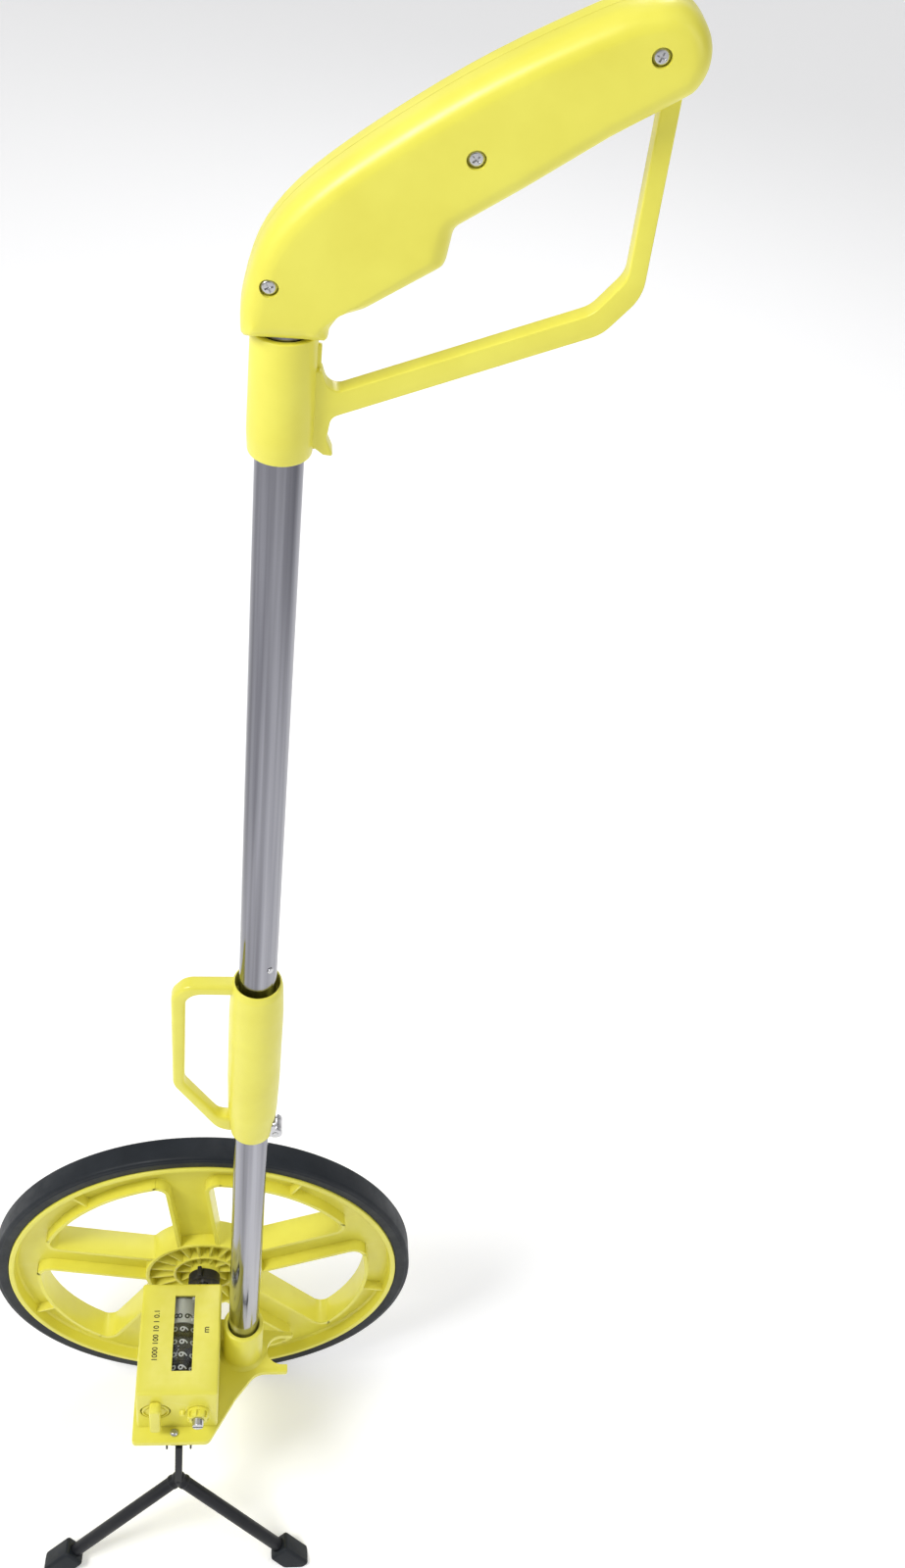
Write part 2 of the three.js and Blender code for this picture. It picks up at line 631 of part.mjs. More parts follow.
function upperTube() {
  const bottom = HINGE_Z + GAP / 2;
  const tube = mastTube(bottom, tubeTop, earOuter + GAP, bottom - 1, HINGE_Z + armHeight + GAP);
  return carve([tube], [rivetShape(GAP)]);
}

// The stop rivet stands out of the tube's side, where it meets the sleeve's mouth.
function rivetShape(clearance = 0) {
  const inner = TUBE_R - 3 - clearance;
  const outer = TUBE_R + (clearance > 0 ? 2 : 0.6);
  const shank = disc(1.4 + clearance, -outer, -inner, SMALL);
  const head = at(new THREE.CylinderGeometry(2.1, 1.3, 0.9, SMALL), 0, -TUBE_R - 0.6, 0);
  const whole = clearance > 0 ? shank : carve([shank, head]);
  const round = new THREE.Matrix4().makeRotationZ(THREE.MathUtils.degToRad(38));
  return at(whole.applyMatrix4(round), MAST_X, MAST_Y, stopRivetZ);
}

const knuckle = (half0, half1) => at(disc(KNUCKLE_R, MAST_Y + half0, MAST_Y + half1), HINGE_X, 0, HINGE_Z);
const pinHole = at(disc(HINGE_PIN_R + GAP / 2, MAST_Y - 20, MAST_Y + 20, SMALL), HINGE_X, 0, HINGE_Z);

function hingeLower() {
  const plug = onMast(alongZ(disc(plugR, HINGE_Z - plugLength, HINGE_Z - GAP)));
  const half = KNUCKLE / 2;
  const arm = box(MAST_X, HINGE_X, MAST_Y - half, MAST_Y + half, HINGE_Z - armHeight, HINGE_Z - GAP);
  const corner = box(HINGE_X, HINGE_X + 5, MAST_Y - half, MAST_Y + half, HINGE_Z - armHeight - 1, HINGE_Z - 5);
  return carve([plug, arm, knuckle(-half, half)], [pinHole.clone(), corner]);
}

function hingeUpper() {
  const plug = onMast(alongZ(disc(plugR, HINGE_Z + GAP, HINGE_Z + plugLength)));
  const added = [plug];
  for (const side of [-1, 1]) {
    const near = side * (KNUCKLE / 2 + GAP);
    const far = side * earOuter;
    const y0 = Math.min(near, far);
    const y1 = Math.max(near, far);
    added.push(box(MAST_X, HINGE_X, MAST_Y + y0, MAST_Y + y1, HINGE_Z + GAP, HINGE_Z + armHeight));
    added.push(knuckle(y0, y1));
  }
  return carve(added, [pinHole.clone()]);
}

const hingePin = () => at(disc(HINGE_PIN_R, MAST_Y - earOuter - 0.4, MAST_Y + earOuter + 0.4, SMALL), HINGE_X, 0, HINGE_Z);

function lockSleeve() {
  const z0 = SLEEVE_BOTTOM;
  const z1 = SLEEVE_BOTTOM + SLEEVE_LENGTH;
  const body = onMast(alongZ(turned([
    [SLEEVE_BORE_R - 2, z0],
    [SLEEVE_R - 3.2, z0],
    [SLEEVE_R - 2, z0 + 4],
    [SLEEVE_R - 0.6, z0 + 25],
    [SLEEVE_R, z0 + 60],
    [SLEEVE_R, z1 - 20],
    [SLEEVE_R - 1, z1 - 4],
    [SLEEVE_R - 1.8, z1],
    [SLEEVE_BORE_R - 2, z1],
  ])));
  const left = MAST_X - SLEEVE_R + 1;
  const reach = MAST_X - SLEEVE_R - D_REACH;
  const outer = roundedOutline([
    [left + 3, z1, 0],
    [reach, z1, 15],
    [reach, z0 + 52, 12],
    [left - 6, z0 + 4, 8],
    [left + 3, z0 + 4, 0],
  ]);
  const inner = roundedOutline([
    [left + 1, z1 - D_BAR, 0],
    [reach + D_BAR, z1 - D_BAR, 9],
    [reach + D_BAR, z0 + 54, 9],
    [left - 5, z0 + 18, 5],
    [left + 1, z0 + 18, 0],
  ]);
  const deep = D_DEPTH / 2;
  const loop = carve(
    [slab(outer, MAST_Y - deep, MAST_Y + deep, 5)],
    [slab(inner, MAST_Y - deep - 1, MAST_Y + deep + 1, 5)],
  );
  const bore = onMast(alongZ(disc(SLEEVE_BORE_R, z0 - 1, z0 + 46)));
  const guide = onMast(alongZ(disc(TUBE_R + RUNNING, z0 + 45, z1 + 1)));
  const mouth = onMast(alongZ(disc(TUBE_R + 2.4, z1 - sleeveRecess, z1 + 1)));
  const slotHalf = earOuter + 0.9;
  const slot = box(MAST_X, MAST_X + SLEEVE_R + 2, MAST_Y - slotHalf, MAST_Y + slotHalf, z0 - 1, HINGE_Z + 13);
  return carve([body, loop], [bore, guide, mouth, slot]);
}

piece("lower_tube", lowerTube(), steel);
piece("hinge_lower", hingeLower(), silver);
piece("hinge_pin", hingePin(), silver);
piece("hinge_upper", hingeUpper(), silver);
piece("upper_tube", upperTube(), steel);
piece("stop_rivet", rivetShape(), silver);
piece("lock_sleeve", lockSleeve(), yellow);

// ---- Guard sleeve and grip ----

// Points from the mast's axis and the guard sleeve's top.
const gripPoint = (x, z) => new THREE.Vector2(MAST_X + x, GUARD_SLEEVE_TOP + z);
const gripEnd = gripPoint(133, 124); // centre of the grip's round end
const gripEndR = 19.5;

function gripOutline() {
  const back = new THREE.SplineCurve([
    gripPoint(-18, 0),
    gripPoint(-17.5, 16),
    gripPoint(-9, 44),
    gripPoint(14, 71),
    gripPoint(64, 109),
    gripPoint(110, 136),
    gripPoint(127, 142.5),
  ]);
  const outline = new THREE.Shape(back.getPoints(26));
  outline.absarc(gripEnd.x, gripEnd.y, gripEndR, 1.8, -0.7, true);
  const under = [[120, 93], [90, 70], [64, 51], [61.5, 45], [62, 39], [58, 33], [32, 15], [22, 12], [18.5, 8], [18, 0]];
  for (const [x, z] of under) {
    const next = gripPoint(x, z);
    outline.lineTo(next.x, next.y);
  }
  return outline;
}

const gripScrews = [gripPoint(-7, 25), gripPoint(69, 83), gripPoint(132, 126)];
const screwSeatY = MAST_Y - GRIP_HALF + 3;

function gripBody() {
  const round = 7;
  const geometry = new THREE.ExtrudeGeometry(gripOutline(), {
    depth: 2 * GRIP_HALF - 2 * round,
    bevelEnabled: true,
    bevelThickness: round,
    bevelSize: round * 0.8,
    bevelOffset: -round * 0.8,
    bevelSegments: 3,
    curveSegments: 10,
  });
  return at(alongZ(geometry), 0, MAST_Y + GRIP_HALF - round, 0);
}

function gripHollow() {
  const half = GRIP_HALF - GRIP_WALL - 2;
  const low = gripPoint(20, 32);
  const high = gripPoint(118, 113);
  const along = high.clone().sub(low).normalize();
  const side = new THREE.Vector2(-along.y, along.x).multiplyScalar(9);
  const corners = [
    low.clone().sub(side),
    high.clone().sub(side),
    high.clone().add(side),
    low.clone().add(side),
  ];
  const shape = roundedOutline(corners.map((c) => [c.x, c.y, 6]));
  const bosses = gripScrews.map((s) => at(disc(SCREW_HEAD_R + 2.4, MAST_Y - 20, MAST_Y + 20, SMALL), s.x, 0, s.y));
  return carve([slab(shape, MAST_Y - half, MAST_Y + half, 4)], bosses);
}

const guardX = gripEnd.x + 8.5; // middle of the guard's upright bar
const guardTop = gripEnd.y - 11;

function gripHalf(side) {
  const wide = 300;
  const split = MAST_Y + (side * GAP) / 2;
  const y0 = side < 0 ? split - wide : split;
  const half = box(-wide, wide, y0, y0 + wide, GUARD_SLEEVE_TOP - 50, GUARD_SLEEVE_TOP + wide);
  const shape = solid(gripBody()).intersect(solid(half));
  const cuts = [
    gripHollow(),
    onMast(alongZ(disc(TUBE_R + GAP, GUARD_SLEEVE_TOP - 1, tubeTop + GAP))),
    box(
      guardX - GUARD_BAR / 2 - GAP,
      guardX + GUARD_BAR / 2 + GAP,
      MAST_Y - GUARD_DEPTH / 2 - GAP,
      MAST_Y + GUARD_DEPTH / 2 + GAP,
      gripEnd.y - 40,
      guardTop + GAP,
    ),
  ];
  for (const screw of gripScrews) {
    cuts.push(at(disc(1.5 + GAP, screwSeatY - 1, MAST_Y + 10, SMALL), screw.x, 0, screw.y));
    cuts.push(at(disc(SCREW_HEAD_R + GAP * 2, MAST_Y - 25, screwSeatY, SMALL), screw.x, 0, screw.y));
  }
  return carve([geometryOf(shape)], cuts);
}

function gripScrew(place) {
  const profile = [[0, 0], [SCREW_HEAD_R, 0.6], [SCREW_HEAD_R, 1.8], [1.5, 1.8], [1.5, 22], [0, 22]];
  const screw = new THREE.LatheGeometry(profile.map(([r, along]) => new THREE.Vector2(r, along)), SMALL);
  return at(screw, place.x, screwSeatY - 1.8 - GAP, place.y);
}

function guardSleeve() {
  const z0 = GUARD_SLEEVE_BOTTOM;
  const z1 = GUARD_SLEEVE_TOP - GAP;
  const body = onMast(alongZ(turned([
    [TUBE_R - 2, z0],
    [GUARD_SLEEVE_R - 0.8, z0],
    [GUARD_SLEEVE_R, z0 + 1.5],
    [GUARD_SLEEVE_R - 0.5, z1],
    [TUBE_R - 2, z1],
  ])));
  const inside = guardX - GUARD_BAR / 2;
  const outside = guardX + GUARD_BAR / 2;
  const side = MAST_X + GUARD_SLEEVE_R;
  const bend = gripEnd.y - 100;
  const loop = slab(roundedOutline([
    [side - 2, z0 + 42, 0],
    [side + 1, z0 + 42, 1],
    [side + 5, z0 + 32, 4],
    [inside - 12, bend - 7, 12],
    [inside, bend + 9, 10],
    [inside, guardTop, 0],
    [outside, guardTop, 0],
    [outside, bend + 2, 18],
    [outside - 14, bend - 16, 16],
    [side + 6, z0 + 20, 4],
    [side + 5, z0 + 8, 4],
    [side + 9, z0, 1],
    [side + 4, z0 + 1, 2],
    [side - 2, z0 + 6, 0],
  ]), MAST_Y - GUARD_DEPTH / 2, MAST_Y + GUARD_DEPTH / 2, 5);
  return carve([body, loop], [onMast(alongZ(disc(TUBE_R + GAP, z0 - 1, z1 + 1)))]);
}

piece("guard_sleeve", guardSleeve(), yellow);
piece("grip_front", gripHalf(-1), yellow);
piece("grip_rear", gripHalf(1), yellow);
gripScrews.forEach((place, index) => {
  piece(`grip_screw_${index + 1}`, gripScrew(place), silver);
});

// ---- Stand ----

// The stand is drawn upright below its hinge and then leant out to the feet's line.
const standLean = Math.atan2(STAND_HINGE_Y - STAND_FEET_Y, STAND_HINGE_Z);
const standLong = Math.hypot(STAND_HINGE_Y - STAND_FEET_Y, STAND_HINGE_Z);
const forkDown = (STAND_HINGE_Z - STAND_FORK_Z) / Math.cos(standLean);
const legAngle = Math.atan2(STAND_SPREAD, standLong - forkDown);
const legLength = Math.hypot(STAND_SPREAD, standLong - forkDown);

function lean(geometry) {
  return at(geometry.rotateX(-standLean), STAND_X, STAND_HINGE_Y, STAND_HINGE_Z);
}

// A shape drawn down the Z axis from the fork, turned out along a leg.
function legWise(geometry, side) {
  return at(geometry.rotateY(-side * legAngle), 0, 0, -forkDown);
}

function standFork() {
  const added = [
    alongX(disc(4, -6, 6)),
    box(-STEM_HALF, STEM_HALF, -LEG_R, LEG_R, -forkDown, 0),
    at(new THREE.SphereGeometry(LEG_R, SMALL, 10), 0, 0, -forkDown),
  ];
  for (const side of [-1, 1]) {
    added.push(legWise(alongZ(disc(LEG_R, -legLength + FOOT_SIDE * 0.7, 0, SMALL)), side));
  }
  const hole = alongX(disc(STAND_PIN_R + RUNNING / 2, -7, 7, SMALL));
  return lean(carve(added, [hole]));
}

function standFoot(side) {
  const half = FOOT_SIDE / 2;
  const block = box(-half, half, -half, half, -legLength - 8, -legLength - 8 + FOOT_LENGTH);
  const bore = alongZ(disc(LEG_R + GAP, -legLength + FOOT_SIDE * 0.7 - GAP, 0, SMALL));
  const foot = lean(legWise(carve([block], [bore]), side));
  return carve([foot], [box(-200, 200, -260, 0, -60, 0)]);
}

function standBracket() {
  const top = PLATE_BOTTOM - GAP;
  const sheet = 1.5;
  const half = 9.5;
  const reach = 6;
  const added = [box(-half, half, -reach, reach + 3, top - STAND_HINGE_Z - sheet, top - STAND_HINGE_Z)];
  for (const x of [-half, half - sheet]) {
    added.push(box(x, x + sheet, -reach + 1, reach - 1, -5, top - STAND_HINGE_Z));
  }
  const screwHole = alongZ(disc(LEDGE_SCREW_R + GAP, 0, 10, SMALL));
  const cuts = [
    alongX(disc(STAND_PIN_R + GAP / 2, -20, 20, SMALL)),
    at(screwHole, ledgeScrew[0] - STAND_X, ledgeScrew[1] - STAND_HINGE_Y, 0),
  ];
  return at(carve(added, cuts), STAND_X, STAND_HINGE_Y, STAND_HINGE_Z);
}

const standPin = () => at(alongX(disc(STAND_PIN_R, -11, 11, SMALL)), STAND_X, STAND_HINGE_Y, STAND_HINGE_Z);

piece("stand_bracket", standBracket(), black);
piece("stand_pin", standPin(), silver);
piece("stand_fork", standFork(), black);
piece("stand_foot_left", standFoot(-1), rubber);
piece("stand_foot_right", standFoot(1), rubber);

export default model;
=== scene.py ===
# %% [markdown]
# # A measuring wheel
# A surveyor's one-metre wheel: a yellow spoked wheel with a rubber tyre, a counter box beside the
# hub, a chromed mast that folds at a lock sleeve, a closed hand grip, and a black two-legged stand.
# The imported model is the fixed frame: it says where every part is, and it is never moved or
# resized. The cells below give it its surfaces, and remake each visible part with round edges and
# the small details that its plain solid leaves out.

# %% Load the frame
import json
import math

import bmesh
import bpy
from mathutils import Matrix, Vector


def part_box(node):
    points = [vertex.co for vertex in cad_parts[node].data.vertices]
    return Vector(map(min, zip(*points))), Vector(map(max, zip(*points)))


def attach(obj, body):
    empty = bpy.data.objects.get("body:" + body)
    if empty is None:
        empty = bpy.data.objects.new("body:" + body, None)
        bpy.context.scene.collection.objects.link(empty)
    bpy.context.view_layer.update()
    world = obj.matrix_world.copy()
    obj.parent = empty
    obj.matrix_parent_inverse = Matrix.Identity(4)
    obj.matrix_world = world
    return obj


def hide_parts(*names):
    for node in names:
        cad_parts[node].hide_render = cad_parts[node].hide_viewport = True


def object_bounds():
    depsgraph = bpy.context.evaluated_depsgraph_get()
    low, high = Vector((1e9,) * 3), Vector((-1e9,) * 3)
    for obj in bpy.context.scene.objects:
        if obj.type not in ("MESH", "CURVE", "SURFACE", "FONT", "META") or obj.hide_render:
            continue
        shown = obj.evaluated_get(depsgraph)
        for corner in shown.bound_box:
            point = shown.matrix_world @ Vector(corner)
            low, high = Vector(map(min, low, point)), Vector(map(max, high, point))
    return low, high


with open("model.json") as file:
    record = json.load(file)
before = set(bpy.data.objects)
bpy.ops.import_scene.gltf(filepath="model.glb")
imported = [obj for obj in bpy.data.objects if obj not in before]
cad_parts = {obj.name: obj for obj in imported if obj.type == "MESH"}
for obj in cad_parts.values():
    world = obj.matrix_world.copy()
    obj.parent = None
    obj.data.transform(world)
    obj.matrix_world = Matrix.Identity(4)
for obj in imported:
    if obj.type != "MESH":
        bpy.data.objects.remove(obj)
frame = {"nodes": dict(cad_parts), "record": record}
cad_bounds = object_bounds()
nodes = frame["nodes"]
TOP = cad_bounds[1][2]
print("nodes", len(nodes), "height", round(TOP, 3))

# %% [markdown]
# ## Camera
# The view is from a standing person's eye, looking down past the grip at the wheel. The lens is a
# little longer than a phone's. The turn, tilt and roll of the camera are given as angles, and its
# place as a point in metres in the frame of the part.

# %% The camera
CAMERA_AT = Vector((0.0216, -0.6893, 1.3504))
CAMERA_TURN = math.radians(-9.63)
CAMERA_TILT = math.radians(90 - 43.49)
CAMERA_ROLL = math.radians(8.42)
CAMERA_LENS = 38.45

camera_data = bpy.data.cameras.new("camera")
camera_data.lens = CAMERA_LENS
camera_data.clip_start = 0.01
camera = bpy.data.objects.new("camera", camera_data)
turn = Matrix.Rotation(CAMERA_TURN, 4, "Z") @ Matrix.Rotation(CAMERA_TILT, 4, "X")
camera.matrix_world = Matrix.Translation(CAMERA_AT) @ turn @ Matrix.Rotation(CAMERA_ROLL, 4, "Z")
bpy.context.scene.collection.objects.link(camera)
bpy.context.scene.camera = camera
print("camera at", tuple(CAMERA_AT))

# %% [markdown]
# ## Floor and light
# A plain pale floor and a pale sky. One large soft light over the left shoulder gives the plastic
# its long highlights, a second from the right fills the shade, and a narrow one behind draws a
# bright line down the chromed tubes.

# %% The floor
def plain_material(name, colour, roughness):
    material = bpy.data.materials.new(name)
    material.use_nodes = True
    shader = material.node_tree.nodes["Principled BSDF"]
    shader.inputs["Base Color"].default_value = (*colour, 1)
    shader.inputs["Roughness"].default_value = roughness
    return material


FLOOR_SIZE = 14.0
FLOOR_BELOW = 0.0004  # so that the tyre and shoes do not share the floor's face
floor_mesh = bmesh.new()
bmesh.ops.create_grid(floor_mesh, x_segments=1, y_segments=1, size=FLOOR_SIZE / 2)
bmesh.ops.translate(floor_mesh, vec=(0, 0, -FLOOR_BELOW), verts=floor_mesh.verts)
floor_data = bpy.data.meshes.new("floor")
floor_mesh.to_mesh(floor_data)
floor_mesh.free()
floor = bpy.data.objects.new("floor", floor_data)
floor.data.materials.append(plain_material("pale_floor", (0.9, 0.9, 0.9), 0.9))
floor_shader = floor.data.materials[0].node_tree.nodes["Principled BSDF"]
floor_shader.inputs["Emission Color"].default_value = (1.0, 1.0, 1.0, 1)
floor_shader.inputs["Emission Strength"].default_value = 0.3
bpy.context.scene.collection.objects.link(floor)

# %% The sky and the lights
world = bpy.data.worlds.new("studio")
world.use_nodes = True
sky = world.node_tree
direction = sky.nodes.new("ShaderNodeTexCoord")
around = sky.nodes.new("ShaderNodeMapping")
around.inputs["Scale"].default_value = (1.0, 1.0, 0.12)
room = sky.nodes.new("ShaderNodeTexNoise")
room.inputs["Scale"].default_value = 2.6
room.inputs["Detail"].default_value = 1.5
tones = sky.nodes.new("ShaderNodeValToRGB")
tones.color_ramp.elements[0].position = 0.42
tones.color_ramp.elements[0].color = (0.10, 0.10, 0.12, 1)
tones.color_ramp.elements[1].position = 0.58
tones.color_ramp.elements[1].color = (1.0, 1.0, 1.0, 1)
sky.links.new(direction.outputs["Generated"], around.inputs["Vector"])
sky.links.new(around.outputs["Vector"], room.inputs["Vector"])
sky.links.new(room.outputs["Fac"], tones.inputs["Fac"])
sky.links.new(tones.outputs["Color"], sky.nodes["Background"].inputs["Color"])
world.node_tree.nodes["Background"].inputs["Strength"].default_value = 0.8
bpy.context.scene.world = world
bpy.context.scene.view_settings.view_transform = "Standard"


def area_light(name, place, target, size, power):
    data = bpy.data.lights.new(name, "AREA")
    data.shape = "RECTANGLE"
    data.size, data.size_y = size
    data.energy = power
    light = bpy.data.objects.new(name, data)
    aim = (Vector(target) - Vector(place)).to_track_quat("-Z", "Y")
    light.matrix_world = Matrix.Translation(place) @ aim.to_matrix().to_4x4()
    bpy.context.scene.collection.objects.link(light)
    return light


area_light("key_light", (-1.5, -0.9, 2.5), (0.0, -0.05, 0.6), (0.9, 0.9), 46)
area_light("fill_light", (1.9, -1.2, 1.6), (0.0, -0.05, 0.5), (0.9, 1.6), 7)
area_light("edge_light", (0.5, 1.8, 1.9), (0.0, 0.0, 0.7), (0.4, 1.6), 12)
print("lights 3")

# %% [markdown]
# ## Effects that several finishes share
# Moulded plastic, rubber and metal all vary a little: the colour drifts in soft patches, a fine
# grain breaks up the highlights, and the convex edges are made brighter, partly as rubbed wear and
# partly as a painted highlight. On the chromed tubes the patches are drawn out along the tube into
# light and dark bands, which are painted reflections. Each effect is a node group with named
# inputs, built once and set differently in each material. The groups give out only colours and
# masks: the shader itself stays in the material.

# %% Node group helpers
def new_group(name, inputs, outputs):
    group = bpy.data.node_groups.new(name, "ShaderNodeTree")
    for label, kind, value in inputs:
        socket = group.interface.new_socket(name=label, in_out="INPUT", socket_type=kind)
        socket.default_value = value
    for label, kind in outputs:
        group.interface.new_socket(name=label, in_out="OUTPUT", socket_type=kind)
    return group, group.nodes.new("NodeGroupInput"), group.nodes.new("NodeGroupOutput")


def add_node(tree, kind, links=(), **settings):
    """A node with its settings, and (socket, source) links into it; a plain value sets a socket."""
    node = tree.nodes.new(kind)
    for key, value in settings.items():
        setattr(node, key, value)
    for socket, source in links:
        if isinstance(source, bpy.types.NodeSocket):
            tree.links.new(source, node.inputs[socket])
        else:
            node.inputs[socket].default_value = source
    return node


COLOUR, NUMBER, VECTOR = "NodeSocketColor", "NodeSocketFloat", "NodeSocketVector"

# %% Soft patches: two colours mixed by a noise
patch_group, patch_in, patch_out = new_group(
    "soft_patches",
    [
        ("Colour A", COLOUR, (1, 1, 1, 1)), ("Colour B", COLOUR, (0.5, 0.5, 0.5, 1)),
        ("Scale", NUMBER, 30.0),
        ("Stretch", VECTOR, (1.0, 1.0, 1.0)),
    ],
    [("Colour", COLOUR), ("Mask", NUMBER)],
)
place = add_node(patch_group, "ShaderNodeTexCoord").outputs["Object"]
drawn_out = add_node(
    patch_group,
    "ShaderNodeVectorMath",
    [(0, place), (1, patch_in.outputs["Stretch"])],
    operation="MULTIPLY",
)
large = add_node(
    patch_group,
    "ShaderNodeTexNoise",
    [
        ("Vector", drawn_out.outputs["Vector"]), ("Scale", patch_in.outputs["Scale"]),
        ("Detail", 3.0), ("Roughness", 0.55),
    ],
)
spread = add_node(
    patch_group,
    "ShaderNodeMapRange",
    [("Value", large.outputs["Fac"]), ("From Min", 0.32), ("From Max", 0.68)],
)
mix = add_node(patch_group, "ShaderNodeMix", data_type="RGBA")
patch_group.links.new(spread.outputs["Result"], mix.inputs["Factor"])
patch_group.links.new(patch_in.outputs["Colour A"], mix.inputs["A"])
patch_group.links.new(patch_in.outputs["Colour B"], mix.inputs["B"])
patch_group.links.new(mix.outputs["Result"], patch_out.inputs["Colour"])
patch_group.links.new(spread.outputs["Result"], patch_out.inputs["Mask"])

# %% Fine grain: a height for a Bump node and a mask for roughness
grain_group, grain_in, grain_out = new_group(
    "fine_grain",
    [("Scale", NUMBER, 900.0), ("Stretch", VECTOR, (1.0, 1.0, 1.0))],
    [("Height", NUMBER), ("Mask", NUMBER)],
)
place = add_node(grain_group, "ShaderNodeTexCoord").outputs["Object"]
stretched = add_node(
    grain_group,
    "ShaderNodeVectorMath",
    [(0, place), (1, grain_in.outputs["Stretch"])],
    operation="MULTIPLY",
)
grain = add_node(
    grain_group,
    "ShaderNodeTexNoise",
    [
        ("Vector", stretched.outputs["Vector"]), ("Scale", grain_in.outputs["Scale"]),
        ("Detail", 2.0),
    ],
)
smudge = add_node(
    grain_group,
    "ShaderNodeTexNoise",
    [("Vector", place), ("Scale", 55.0), ("Detail", 4.0), ("Roughness", 0.65)],
)
grain_group.links.new(grain.outputs["Fac"], grain_out.inputs["Height"])
grain_group.links.new(smudge.outputs["Fac"], grain_out.inputs["Mask"])

# %% Edge wear and painted highlight: bright on convex edges, broken up by a noise
edge_wear_and_highlight_group, edge_wear_and_highlight_in, edge_wear_and_highlight_out = new_group(
    "edge_wear_and_highlight",
    [("Start", NUMBER, 0.53), ("End", NUMBER, 0.62), ("Amount", NUMBER, 0.5)],
    [("Mask", NUMBER)],
)
convex = add_node(edge_wear_and_highlight_group, "ShaderNodeNewGeometry").outputs["Pointiness"]
edge = add_node(
    edge_wear_and_highlight_group,
    "ShaderNodeMapRange",
    [
        ("Value", convex), ("From Min", edge_wear_and_highlight_in.outputs["Start"]),
        ("From Max", edge_wear_and_highlight_in.outputs["End"]),
    ],
)
place = add_node(edge_wear_and_highlight_group, "ShaderNodeTexCoord").outputs["Object"]
broken = add_node(
    edge_wear_and_highlight_group, "ShaderNodeTexNoise", [("Vector", place), ("Scale", 140.0), ("Detail", 3.0)],
)
worn_and_highlit_edges = add_node(
    edge_wear_and_highlight_group,
    "ShaderNodeMath",
    [(0, edge.outputs["Result"]), (1, broken.outputs["Fac"])],
    operation="MULTIPLY",
)
amount = add_node(
    edge_wear_and_highlight_group,
    "ShaderNodeMath",
    [(0, worn_and_highlit_edges.outputs["Value"]), (1, edge_wear_and_highlight_in.outputs["Amount"])],
    operation="MULTIPLY",
)
edge_wear_and_highlight_group.links.new(amount.outputs["Value"], edge_wear_and_highlight_out.inputs["Mask"])
print("node groups", [patch_group.name, grain_group.name, edge_wear_and_highlight_group.name])

# %% [markdown]
# ## Finishes
# Every finish is a Principled shader fed by the shared groups. What is the same all over a surface,
# such as the metal's metalness or the plastic's coat, is set on the shader's own socket.

# %% One maker for all the finishes
def finish(name, colours, rough, metallic=0.0, patch_scale=30.0, grain_scale=900.0,
           stretch=(1, 1, 1), bump=0.04, edge=None, edge_wear_and_highlight_amount=0.5, **sockets):
    """A material from two near colours, a low and a high roughness and a bumped grain."""
    material = bpy.data.materials.new(name)
    material.use_nodes = True
    tree = material.node_tree
    shader = tree.nodes["Principled BSDF"]
    patches = add_node(tree, "ShaderNodeGroup", node_tree=patch_group)
    patches.inputs["Colour A"].default_value = (*colours[0], 1)
    patches.inputs["Colour B"].default_value = (*colours[1], 1)
    patches.inputs["Scale"].default_value = patch_scale
    patches.inputs["Stretch"].default_value = stretch
    colour = patches.outputs["Colour"]
    # Convex edges are mixed towards the edge colour: partly rubbed wear, partly a painted
    # highlight.
    if edge is not None:
        edge_wear_and_highlight_node = add_node(tree, "ShaderNodeGroup", node_tree=edge_wear_and_highlight_group)
        edge_wear_and_highlight_node.inputs["Amount"].default_value = edge_wear_and_highlight_amount
        edge_wear_and_highlight_mix = add_node(tree, "ShaderNodeMix", data_type="RGBA")
        tree.links.new(edge_wear_and_highlight_node.outputs["Mask"], edge_wear_and_highlight_mix.inputs["Factor"])
        tree.links.new(colour, edge_wear_and_highlight_mix.inputs["A"])
        edge_wear_and_highlight_mix.inputs["B"].default_value = (*edge, 1)
        colour = edge_wear_and_highlight_mix.outputs["Result"]
    tree.links.new(colour, shader.inputs["Base Color"])
    fine = add_node(tree, "ShaderNodeGroup", node_tree=grain_group)
    fine.inputs["Scale"].default_value = grain_scale
    fine.inputs["Stretch"].default_value = stretch
    roughness = add_node(
        tree,
        "ShaderNodeMapRange",
        [
            ("Value", fine.outputs["Mask"]), ("From Min", 0.3), ("From Max", 0.7),
            ("To Min", rough[0]), ("To Max", rough[1]),
        ],
    )
    tree.links.new(roughness.outputs["Result"], shader.inputs["Roughness"])
    bumps = add_node(
        tree, "ShaderNodeBump", [("Height", fine.outputs["Height"]), ("Strength", bump)],
    )
    bumps.inputs["Distance"].default_value = 0.0004
    tree.links.new(bumps.outputs["Normal"], shader.inputs["Normal"])
    shader.inputs["Metallic"].default_value = metallic
    for label, value in sockets.items():
        shader.inputs[label.replace("_", " ")].default_value = value
    return material


# %% The finishes themselves
# The edge colours below paint convex edges brighter: partly rubbed wear, partly a painted
# highlight.
YELLOW = (0.83, 0.78, 0.10)
YELLOW_DEEP = (0.78, 0.72, 0.08)
yellow = finish(
    "yellow_plastic", (YELLOW, YELLOW_DEEP), (0.30, 0.44), bump=0.08, grain_scale=1400,
    edge=(0.93, 0.88, 0.28), edge_wear_and_highlight_amount=0.6, Coat_Weight=0.12, Coat_Roughness=0.25,
)
rubber = finish(
    "tyre_rubber", ((0.008, 0.011, 0.015), (0.013, 0.017, 0.022)), (0.42, 0.62), patch_scale=45,
    grain_scale=700, bump=0.16, edge=(0.04, 0.045, 0.055), edge_wear_and_highlight_amount=0.4, Specular_IOR_Level=0.3,
)
black = finish(
    "black_plastic", ((0.010, 0.010, 0.012), (0.018, 0.018, 0.02)), (0.4, 0.6), bump=0.1,
)
